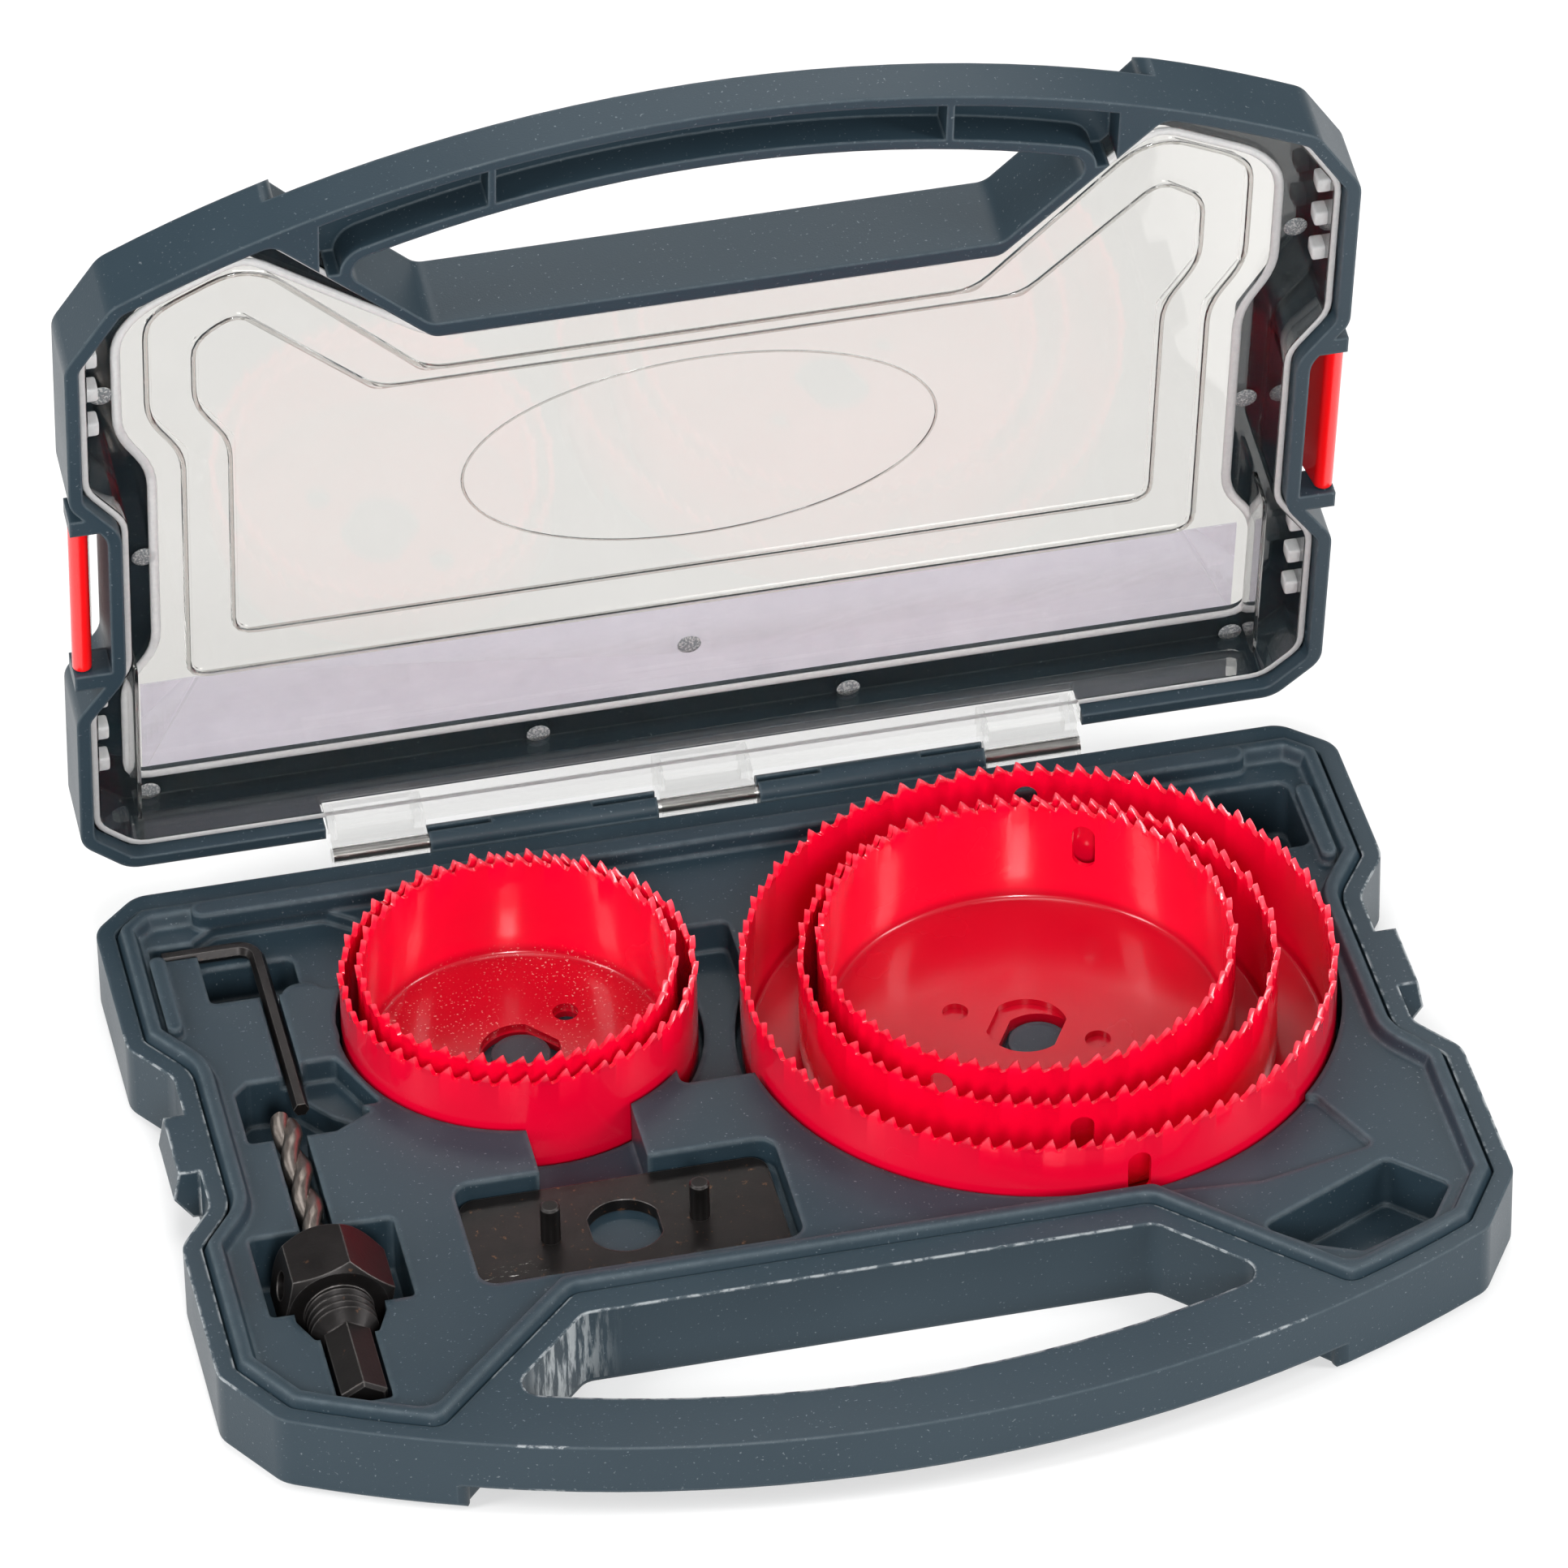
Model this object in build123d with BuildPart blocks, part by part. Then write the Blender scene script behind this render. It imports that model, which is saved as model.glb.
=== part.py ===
from build123d import *
import math
import os

os.makedirs("parts", exist_ok=True)

# Hole saw carry case, open, with its kit. Millimetres, +Z up, +Y towards the hinge.
# The origin is the middle of the bottom of the base, on the surface that the case stands on.

# ---- case outline, shared by the base and the lid
case_half_w = 137.5
back_y = 100.0
front_y = -105.0
back_chamfer_x = 10.3
back_chamfer_y = 9.6
front_chamfer_x = 10.0
front_chamfer_top_y = -57.0
front_chamfer_low_y = -73.2
recess_depth = 8.0
recess_back_y = 50.5
recess_back_in_y = 38.5
recess_front_in_y = -4.5
recess_front_y = -15.5
outline_round = 7.0

# ---- grip hole and handle
grip_half_w = 60.6
grip_top_y = -55.4
grip_corner_x = 80.8
grip_arc_y = -90.5
grip_arc_radius = 233.0
grip_round = 4.5
handle_half_w = 91.0
handle_step_y = -74.0
handle_rise = 7.0
step_round = 3.0

# ---- base pan
base_height = 19.0
pan_floor = 1.6
pan_edge_round = 3.0
handle_wall = 2.6
handle_roof = 2.6
channel_half_w = 84.0
channel_rib = 1.6
channel_rib_x = 48.0

# ---- tray: the moulded insert that holds the kit
flange = 4.0
back_flange = 5.5
grip_flange = 6.4
fit_gap = 0.15
lip_width = 5.0
lip_rise = 1.8
deck_drop = 1.4
tray_floor = 1.4
tray_round = 4.0
deck_edge_round = 1.0
deck_z = base_height - deck_drop
lip_z = base_height + lip_rise
well_floor_z = pan_floor + tray_floor
back_rib_half_w = 116.5
back_rib_width = 5.0
back_rib_top = 4.2
side_rib_back_y = 77.0
side_rib_front_y = 52.0
side_rib_top = 2.8

# ---- hole saws: name, diameter, how many saws lie under it, way the drive pins point
saw_height = 28.2
saw_wall = 1.2
saw_bottom = 1.5
saw_corner = 2.4
tooth_pitch = 4.3
tooth_height = 2.6
drive_hole = 17.6
drive_flats = 15.2
drive_pin_pitch = 31.8
drive_pin_hole = 5.6
saw_slot_width = 5.2
saw_slot_height = 11.0
saw_slot_low = 11.5
well_gap = 1.2
well_post = 12.7
well_post_rise = 2.8
well_from_right = 83.0
well_from_left = 83.7
large_well = (case_half_w - well_from_right, 22.8)
small_well = (well_from_left - case_half_w, 44.5)
nest_lean = (-1.7, 3.6)
large_saw_d = 127.0
middle_saw_d = 102.0
inner_saw_d = 89.0
small_saw_d = 76.0
least_saw_d = 68.0

saw_slots = {
    large_saw_d: (-84, 79),
    middle_saw_d: (-93, 87),
    inner_saw_d: (-127, 60),
}

# ---- arbor, pilot drill, key and backing plate
arbor_from_left = 28.6
arbor_x = arbor_from_left - case_half_w
arbor_z = 15.5
arbor_hex = 22.0
arbor_hex_turn = 16.0
arbor_hex_back_y = -23.6
arbor_hex_front_y = -39.5
arbor_back_bevel = 2.6
arbor_front_bevel = 1.2
arbor_thread_d = 14.6
arbor_thread = 6.8
thread_pitch = 2.0
thread_groove = 0.9
arbor_cone = 2.6
arbor_shank = 9.6
arbor_end_y = -68.6
arbor_bore_gap = 0.05
drill_d = 6.35
drill_tip_y = 24.8
drill_seat = 26.0
drill_point = 2.4
set_screw_d = 6.0
set_screw = 6.4
set_screw_key = 3.0
key_size = 3.0
key_short = 20.0
key_long = 55.3
key_from_left = 32.9
key_corner = (key_from_left - case_half_w, 80.8)
key_bend = 4.0
key_slot_gap = 0.5
key_floor_z = 14.4
plate_from_left = 92.2
plate_centre = (plate_from_left - case_half_w, -24.0)
plate_size = (66.0, 30.5)
plate_thick = 3.0
plate_round = 4.0
plate_floor_z = 10.4
plate_gap = 0.7
plate_hole = 16.4
plate_flats = 14.8
drive_pin_d = 4.2
drive_pin_rise = 9.0

# ---- lid
lid_gap = 0.3
lid_depth = 18.6
lid_roof = 1.3
lid_wall = 3.0
lid_edge_chamfer = 3.0
lid_handle_depth = 10.0
window_fit = 0.3
window_wall = 1.8
window_pane = 1.2
window_rim = 3.6
pane_margin = 13.1
pane_jog = 7.0
pane_back_y = 88.3
pane_front_y = -36.0
pane_round = 3.2
groove_width = 1.2
groove_depth = 0.6
label_half_w = case_half_w - 16.5
label_back_y = 86.8
label_front_y = 60.5
label_thick = 0.3
lid_open = 80.0

# ---- lid hinge
hinge_y = 104.7
hinge_z = 18.3
hinge_pin_d = 3.0
pin_clear = 0.05
pin_seat = 0.02
barrel_radius = 3.6
knuckle_width = 21.0
knuckle_x = 72.5
knuckle_top = 9.6
knuckle_skin = 2.0
barrel_inner_x = 11.3
barrel_outer_x = 61.7
pin_grip = 15.5
hinge_slot_width = 1.8
hinge_slot = 14.0

# ---- side latches
latch_from_side = 2.1
latch_x = case_half_w - latch_from_side
latch_rise = 3.6
latch_back_y = 36.4
latch_front_y = -6.6
latch_barrel = 2.1
latch_plate_in = 0.3
latch_plate_out = 2.1
latch_reach = 14.6
latch_lip = 1.8
latch_lip_in = 1.5
latch_side_gap = 0.4
latch_fold = 190.0
trunnion_d = 2.2
trunnion = 2.6
ear = 4.2
ear_top = 7.6
keeper_from_side = 3.5
keeper_x = case_half_w - keeper_from_side
keeper_belly_x = keeper_x + 1.3
keeper_low_x = keeper_x - 2.5
keeper_back_y = 26.0
keeper_front_y = 7.5
keeper_belly_drop = 7.0
keeper_drop = 12.5


def mirrored(points):
    """The points of the right half from the back to the front, then those of the left half."""
    return points + [(-x, y) for x, y in reversed(points)]


def case_face(inset=0.0):
    """The outline of the case as seen from above, drawn in by inset."""
    side = case_half_w
    notch = case_half_w - recess_depth
    right = [
        (side - back_chamfer_x, back_y),
        (side, back_y - back_chamfer_y),
        (side, recess_back_y),
        (notch, recess_back_in_y),
        (notch, recess_front_in_y),
        (side, recess_front_y),
        (side, front_chamfer_top_y),
        (side - front_chamfer_x, front_chamfer_low_y),
    ]
    left = [(-x, y) for x, y in reversed(right)]
    with BuildSketch() as face:
        with BuildLine():
            Polyline(*left, *right)
            ThreePointArc(right[-1], (0, front_y), left[0])
        make_face()
        fillet(face.vertices(), outline_round)
        if inset > 0:
            offset(amount=-inset, kind=Kind.INTERSECTION)
    return face.sketch


def grip_face(grow=0.0):
    """The hole behind the handle that the fingers go through."""
    arc_centre_y = grip_arc_y + grip_arc_radius
    corner_y = arc_centre_y - math.sqrt(grip_arc_radius**2 - grip_corner_x**2)
    with BuildSketch() as face:
        with BuildLine():
            Polyline(
                (-grip_corner_x, corner_y),
                (-grip_half_w, grip_top_y),
                (grip_half_w, grip_top_y),
                (grip_corner_x, corner_y),
            )
            ThreePointArc((grip_corner_x, corner_y), (0, grip_arc_y), (-grip_corner_x, corner_y))
        make_face()
        fillet(face.vertices(), grip_round)
        if grow > 0:
            offset(amount=grow, kind=Kind.ARC)
    return face.sketch


def front_arc_y(x):
    """The y of the curved front edge of the case at x."""
    half = case_half_w - front_chamfer_x
    rise = front_chamfer_low_y - front_y
    radius = (half**2 + rise**2) / (2 * rise)
    return front_y + radius - math.sqrt(radius**2 - x**2)


def handle_face():
    """The stretch of the case in front of the body, where only the handle runs."""
    start_x = handle_half_w + step_round
    start_y = front_arc_y(start_x)
    end_y = start_y + step_round
    bulge_x = start_x - step_round * math.sin(math.radians(45))
    bulge_y = end_y - step_round * math.cos(math.radians(45))
    with BuildSketch() as face:
        with BuildLine():
            Polyline((-start_x, start_y), (-start_x, front_y - 1), (start_x, front_y - 1), (start_x, start_y))
            ThreePointArc((start_x, start_y), (bulge_x, bulge_y), (handle_half_w, end_y))
            Polyline(
                (handle_half_w, end_y),
                (grip_corner_x, handle_step_y),
                (-grip_corner_x, handle_step_y),
                (-handle_half_w, end_y),
            )
            ThreePointArc((-handle_half_w, end_y), (-bulge_x, bulge_y), (-start_x, start_y))
        make_face()
    return face.sketch


def channel_face():
    """The hollow along the inside of the handle bar, between its two walls."""
    with BuildSketch() as face:
        add(case_face(handle_wall))
        with Locations((0, front_y)):
            Rectangle(2 * channel_half_w, 2 * (handle_step_y - front_y), mode=Mode.INTERSECT)
        add(grip_face(handle_wall), mode=Mode.SUBTRACT)
        for side in (-1, 1):
            with Locations((side * channel_rib_x, front_y)):
                Rectangle(channel_rib, 60, mode=Mode.SUBTRACT)
    return face.sketch


def interior_face(inset, back_inset, grip_inset, corner_round):
    """The plan of what lies inside the case wall: the case drawn in, less the grip and the handle."""
    edge_y = grip_top_y + grip_inset
    edge_x = grip_half_w + 0.7 + math.tan(math.radians(22.5)) * (grip_inset - grip_flange)
    fall = case_half_w - edge_x
    with BuildSketch() as face:
        add(case_face(inset))
        with Locations((0, back_y)):
            Rectangle(2 * case_half_w, 2 * back_inset, mode=Mode.SUBTRACT)
        with BuildLine():
            Polyline(
                (-case_half_w, edge_y - fall),
                (-edge_x, edge_y),
                (edge_x, edge_y),
                (case_half_w, edge_y - fall),
                close=True,
            )
        make_face(mode=Mode.SUBTRACT)
        fillet(face.vertices().filter_by(lambda v: abs(v.X) < grip_corner_x + 20 and v.Y < 0), corner_round)
    return face.sketch


# =====================================================================================
# Base pan: the outer shell of the lower half, with the keepers and the hinge barrels
# =====================================================================================
pan_cavity_inset = 2.2
ledge_thick = 3.6

with BuildPart() as base_pan:
    with BuildSketch():
        add(case_face())
    extrude(amount=base_height)
    chamfer(base_pan.edges().group_by(Axis.Z)[0], pan_edge_round * 0.6)

    # the handle stands clear of the ground and the grip goes right through
    with BuildSketch():
        add(handle_face())
    extrude(amount=handle_rise, mode=Mode.SUBTRACT)
    with BuildSketch():
        add(grip_face())
    extrude(amount=base_height, mode=Mode.SUBTRACT)

    # room for the tray, held under an inward ledge
    with BuildSketch(Plane.XY.offset(pan_floor)):
        add(interior_face(pan_cavity_inset, back_flange - 2, grip_flange - 1.8, tray_round))
    extrude(amount=base_height - pan_floor - ledge_thick, mode=Mode.SUBTRACT)
    with BuildSketch(Plane.XY.offset(base_height - ledge_thick)):
        add(interior_face(flange, back_flange, grip_flange, tray_round))
    extrude(amount=ledge_thick, mode=Mode.SUBTRACT)

    # the handle is hollow from below
    with BuildSketch(Plane.XY.offset(handle_rise)):
        add(channel_face())
    extrude(amount=base_height - handle_roof - handle_rise, mode=Mode.SUBTRACT)

    # keepers that the latches hook under, one in each side recess
    keeper_in = case_half_w - recess_depth - 1
    for side in (-1, 1):
        with BuildSketch(Plane.XZ.offset(-keeper_back_y)):
            with BuildLine():
                Polyline(
                    (side * keeper_in, base_height),
                    (side * keeper_x, base_height),
                    (side * keeper_belly_x, base_height - keeper_belly_drop),
                    (side * keeper_low_x, base_height - keeper_drop),
                    (side * keeper_in, base_height - keeper_drop),
                    close=True,
                )
            make_face()
        extrude(amount=keeper_back_y - keeper_front_y)

    # hinge barrels behind the back wall, bored for the pins and slotted over their ends
    for side in (-1, 1):
        barrel_mid = side * (barrel_inner_x + barrel_outer_x) / 2
        barrel_long = barrel_outer_x - barrel_inner_x
        with Locations((barrel_mid, hinge_y, hinge_z)):
            Cylinder(barrel_radius, barrel_long, rotation=(0, 90, 0))
        with Locations((barrel_mid, (back_y - 1 + hinge_y) / 2, hinge_z - barrel_radius / 2 - 1)):
            Box(barrel_long, hinge_y - back_y + 1, barrel_radius + 2)
        for end in (barrel_inner_x, barrel_outer_x):
            inward = 1 if end == barrel_inner_x else -1
            with Locations((side * (end + inward * pin_grip / 2), hinge_y, hinge_z)):
                Cylinder(
                    hinge_pin_d / 2 + pin_seat, pin_grip + 0.4, rotation=(0, 90, 0), mode=Mode.SUBTRACT
                )
            with Locations((side * (end + inward * hinge_slot / 2), hinge_y, hinge_z + barrel_radius)):
                Box(hinge_slot, hinge_slot_width, 2 * barrel_radius, mode=Mode.SUBTRACT)

base_pan.part.label = "base_pan"
export_step(base_pan.part, "parts/base_pan.step")
print("base_pan", len(base_pan.solids()), base_pan.part.volume)


# =====================================================================================
# Tray: a thin moulding with a raised lip, deep wells for the saws and shaped pockets
# =====================================================================================
def round_pocket(points, corner, grow):
    """A pocket outline through the points, its corners rounded, made larger by grow."""
    with BuildSketch() as face:
        with BuildLine():
            Polyline(*points, close=True)
        make_face()
        fillet(face.vertices(), corner)
        if grow > 0:
            offset(amount=grow, kind=Kind.ARC)
    return face.sketch


def box_pocket(x0, x1, y0, y1, corner, grow):
    """A straight sided pocket between x0 and x1, y0 and y1."""
    return round_pocket([(x0, y0), (x1, y0), (x1, y1), (x0, y1)], corner, grow)


def well(centre, diameter, grow):
    """The round well that a saw of this diameter stands in."""
    with BuildSketch() as face:
        with Locations(centre):
            Circle(diameter / 2 + well_gap + grow)
    return face.sketch


shank_half = arbor_shank / 2 + 0.9
drill_half = drill_d / 2 + 0.4
saddle_floor_z = 9.5
finger_floor_z = 5.0
dish_floor_z = deck_z - 1.6


def pockets(grow):
    """Every pocket of the tray as (outline, height of its floor)."""
    plate_x, plate_y = plate_centre
    plate_w, plate_d = plate_size
    found = [
        (well(large_well, large_saw_d, grow), well_floor_z),
        (well(small_well, small_saw_d, grow), well_floor_z),
    ]
    left = -case_half_w
    right = case_half_w
    key_x, key_y = key_corner
    slot_half = key_size / 2 + key_slot_gap
    # the shelf behind the small saw, with the slot for the short leg of the key
    shelf = [(left + 20.1, 62), (left + 20.1, 84), (left + 25.5, 87.6), (left + 49.5, 87.6)]
    shelf += [(left + 55.5, 83), (left + 55.5, 62)]
    found.append((round_pocket(shelf, 1.6, grow), key_floor_z))
    short_slot = box_pocket(key_x - 22.6, key_x - 5.4, key_y - slot_half - 0.4, key_y + slot_half + 0.6, 0.8, grow)
    found.append((short_slot, key_floor_z))
    # the slot for its long leg, beside the finger pad
    found.append((box_pocket(key_x - slot_half - 0.3, key_x + slot_half, 24, 70, 0.8, grow), key_floor_z))
    # finger pockets at the bend and at the end of the key
    found.append((box_pocket(key_x - 12.6, key_x + 7.6, 65.8, 77.5, 2.0, grow), finger_floor_z))
    finger_end = [(key_x - 13.2, 15), (key_x - 13.2, 31.5), (key_x - 9.9, 34.8), (key_x + 0.6, 34.8)]
    finger_end += [(key_x + 6.6, 27), (key_x + 14.6, 20), (key_x + 5.6, 15)]
    found.append((round_pocket(finger_end, 1.2, grow), finger_floor_z))
    ramp = [(key_x + 1.4, 30), (key_x + 2.6, 38.8), (key_x + 9.6, 38.8), (key_x + 16.6, 22), (key_x + 5.6, 22)]
    found.append((round_pocket(ramp, 1.0, grow), key_floor_z - 3))
    # the bed of the arbor: drill channel, nut, thread and shank
    found.append((box_pocket(arbor_x - drill_half, arbor_x + drill_half, -18, 18, 0.6, grow), arbor_z - drill_half))
    found.append((box_pocket(arbor_x - 14.5, arbor_x + 16.1, -40.4, -14.8, 1.2, grow), well_floor_z))
    thread_pocket = [(arbor_x - 9.5, -38), (arbor_x + 9.5, -38), (arbor_x + 9.5, -43), (arbor_x + 6.7, -49.4)]
    thread_pocket += [(arbor_x - 6.7, -49.4), (arbor_x - 9.5, -43)]
    found.append((round_pocket(thread_pocket, 1.0, grow), arbor_z - arbor_thread_d / 2 - 1))
    shank_pocket = box_pocket(
        arbor_x - shank_half, arbor_x + shank_half, arbor_end_y - 1.6, arbor_end_y + 24.6, 1.0, grow
    )
    found.append((shank_pocket, arbor_z - arbor_shank / math.sqrt(3)))
    # the backing plate and the gap between the tongues in front of the small saw
    plate_pocket = box_pocket(
        plate_x - plate_w / 2 - plate_gap,
        plate_x + plate_w / 2 + plate_gap + 1.4,
        plate_y - plate_d / 2 - plate_gap - 0.7,
        plate_y + plate_d / 2 + plate_gap,
        plate_round,
        grow,
    )
    found.append((plate_pocket, plate_floor_z))
    found.append((box_pocket(plate_x - 14.9, plate_x + 8.3, -14, 12, 1.0, grow), plate_floor_z - 3))
    # the saddle between the two wells
    saddle_x = (small_well[0] + small_saw_d / 2 + large_well[0] - large_saw_d / 2) / 2
    found.append((box_pocket(saddle_x - 12.9, saddle_x + 8.1, 13, 64, 2.0, grow), saddle_floor_z))
    # the shallow dish in front of the large saw and the two empty corner pockets
    dish = [(right - 33.5, -22), (right - 25.5, -40), (right - 51.5, -46), (right - 77.5, -44)]
    dish += [(right - 77.5, -30), (right - 47.5, -18)]
    found.append((round_pocket(dish, 2.0, grow), dish_floor_z))
    found.append((box_pocket(right - 32.1, right - 13.3, 59.5, 82, 2.5, grow), well_floor_z))
    corner = [(right - 55.5, -60), (right - 24.5, -45), (right - 13.5, -56), (right - 19.5, -65.5)]
    corner += [(right - 36.5, -72.6), (right - 46.5, -68)]
    found.append((round_pocket(corner, 2.0, grow), well_floor_z + 2))
    return found


tray_wall = 1.5
deck_thick = 2.0

with BuildPart() as tray:
    # the pocket walls and floors, trimmed to the outline of the tray
    for outline, floor_z in pockets(tray_wall):
        with BuildSketch(Plane.XY.offset(floor_z - tray_floor)):
            add(outline)
        extrude(amount=deck_z - floor_z + tray_floor)
    with BuildSketch(Plane.XY.offset(pan_floor)):
        add(interior_face(flange + fit_gap, back_flange + fit_gap, grip_flange + fit_gap, tray_round))
    extrude(amount=deck_z - pan_floor, mode=Mode.INTERSECT)

    # the outer wall, the deck and the lip
    with BuildSketch(Plane.XY.offset(pan_floor)):
        add(interior_face(flange + fit_gap, back_flange + fit_gap, grip_flange + fit_gap, tray_round))
        add(
            interior_face(
                flange + fit_gap + tray_wall,
                back_flange + fit_gap + tray_wall,
                grip_flange + fit_gap + tray_wall,
                tray_round,
            ),
            mode=Mode.SUBTRACT,
        )
    extrude(amount=deck_z - pan_floor)
    with BuildSketch(Plane.XY.offset(deck_z - deck_thick)):
        add(interior_face(flange + fit_gap, back_flange + fit_gap, grip_flange + fit_gap, tray_round))
    extrude(amount=deck_thick)
    with BuildSketch(Plane.XY.offset(deck_z)):
        add(interior_face(flange + fit_gap, back_flange + fit_gap, grip_flange + fit_gap, tray_round))
        add(
            interior_face(
                flange + fit_gap + lip_width,
                back_flange + fit_gap + lip_width,
                grip_flange + fit_gap + lip_width,
                tray_round,
            ),
            mode=Mode.SUBTRACT,
        )
    extrude(amount=lip_z - deck_z, taper=22)

    for outline, floor_z in pockets(0):
        with BuildSketch(Plane.XY.offset(floor_z)):
            add(outline)
        extrude(amount=deck_z - floor_z, mode=Mode.SUBTRACT)

    # the finger pad stands at deck height between the key and the small saw
    with BuildSketch(Plane.XY.offset(pan_floor)):
        with Locations((key_corner[0] + 7.2, 53.1)):
            RectangleRounded(9.6, 23.2, 4.2)
    extrude(amount=deck_z - pan_floor)

    # posts that centre the saws
    for centre in (large_well, small_well):
        with BuildSketch(Plane.XY.offset(well_floor_z)):
            with Locations(centre):
                Circle(well_post / 2)
        extrude(amount=well_post_rise)

    # stiffening ribs along the back and the sides
    with BuildSketch(Plane.XY.offset(deck_z)):
        with Locations((0, back_y - 10.6)):
            SlotOverall(2 * back_rib_half_w, back_rib_width)
    extrude(amount=back_rib_top)
    with BuildSketch(Plane.XY.offset(deck_z)):
        for side in (-1, 1):
            with Locations((side * (case_half_w - 11.1), (side_rib_back_y + side_rib_front_y) / 2)):
                SlotOverall(side_rib_back_y - side_rib_front_y, 3.4, rotation=90)
    extrude(amount=side_rib_top)

tray.part.label = "tray"
export_step(tray.part, "parts/tray.step")
print("tray", len(tray.solids()), tray.part.volume)


# =====================================================================================
# Hole saws: thin cups with a toothed rim, a flatted drive hole and two pin holes
# =====================================================================================
def flatted_hole(diameter, flats):
    """A round hole with two opposite flats, flats apart."""
    with BuildSketch() as face:
        Circle(diameter / 2)
        Rectangle(flats, diameter, mode=Mode.INTERSECT)
    return face.sketch


def hole_saw(name, diameter, centre, stacked, turn):
    """One cup standing on the floor of its well, or on the saws already stacked in it."""
    base_z = well_floor_z + stacked * saw_bottom
    rim_z = base_z + saw_height
    teeth = round(math.pi * diameter / tooth_pitch)
    with BuildPart() as saw:
        with BuildSketch(Plane.XY.offset(base_z)):
            with Locations(centre):
                Circle(diameter / 2)
        extrude(amount=saw_height)
        fillet(saw.edges().group_by(Axis.Z)[0], saw_corner)
        with BuildSketch(Plane.XY.offset(base_z + saw_bottom)):
            with Locations(centre):
                Circle(diameter / 2 - saw_wall)
        extrude(amount=saw_height, mode=Mode.SUBTRACT)
        with BuildSketch(Plane.XY.offset(base_z)):
            with Locations(Location((centre[0], centre[1], 0), turn)):
                add(flatted_hole(drive_hole, drive_flats))
                with Locations((drive_pin_pitch / 2, 0), (-drive_pin_pitch / 2, 0)):
                    Circle(drive_pin_hole / 2)
        extrude(amount=saw_bottom, mode=Mode.SUBTRACT)

        # slots that let the plug of wood be pushed out
        for angle in saw_slots.get(diameter, ()):
            slot_at = Plane(
                origin=(centre[0], centre[1], base_z + saw_slot_low + saw_slot_height / 2),
                x_dir=(0, 0, 1),
                z_dir=(math.cos(math.radians(angle)), math.sin(math.radians(angle)), 0),
            )
            with BuildSketch(slot_at):
                SlotOverall(saw_slot_height, saw_slot_width)
            extrude(amount=diameter / 2 + 1, mode=Mode.SUBTRACT)

        # raked teeth: one side of each gullet is steep
        wall_in = centre[0] + diameter / 2 - saw_wall - 0.5
        with BuildSketch(Plane(origin=(wall_in, centre[1], rim_z), x_dir=(0, 1, 0), z_dir=(1, 0, 0))):
            with BuildLine():
                Polyline(
                    (-tooth_pitch * 0.44, 0.3),
                    (-tooth_pitch * 0.34, -tooth_height),
                    (-tooth_pitch * 0.20, -tooth_height),
                    (tooth_pitch * 0.44, 0.3),
                    close=True,
                )
            make_face()
        gullet = extrude(amount=saw_wall + 1, mode=Mode.PRIVATE)
        cutters = [
            gullet.rotate(Axis((centre[0], centre[1], 0), (0, 0, 1)), 360 * k / teeth) for k in range(teeth)
        ]
        add(cutters, mode=Mode.SUBTRACT)
    saw.part.label = name
    export_step(saw.part, "parts/" + name + ".step")
    print(name, len(saw.solids()), saw.part.volume)


nested_large = (large_well[0] + nest_lean[0], large_well[1] + nest_lean[1])
nested_small = (small_well[0], small_well[1] + 0.8)
hole_saw("hole_saw_127", large_saw_d, large_well, 0, 12)
hole_saw("hole_saw_102", middle_saw_d, large_well, 1, 70)
hole_saw("hole_saw_89", inner_saw_d, nested_large, 2, -29.5)
hole_saw("hole_saw_76", small_saw_d, small_well, 0, 100)
hole_saw("hole_saw_68", least_saw_d, nested_small, 1, 41)


# =====================================================================================
# Arbor: hexagon body with a threaded stud and a hexagon shank, its screw and its drill
# =====================================================================================
thread_end_y = arbor_hex_front_y - arbor_thread
cone_end_y = thread_end_y - arbor_cone
across_y = Plane(origin=(arbor_x, 0, arbor_z), x_dir=(1, 0, 0), z_dir=(0, -1, 0))
along_y = Plane(origin=(arbor_x, 0, arbor_z), x_dir=(0, 1, 0), z_dir=(0, 0, 1))
arbor_axis = Axis((arbor_x, 0, arbor_z), (0, 1, 0))
hex_mid_y = (arbor_hex_back_y + arbor_hex_front_y) / 2
screw_way = math.radians(arbor_hex_turn + 150)
screw_at = Plane(
    origin=(arbor_x, hex_mid_y, arbor_z),
    x_dir=(0, 1, 0),
    z_dir=(math.cos(screw_way), 0, math.sin(screw_way)),
)

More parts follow.
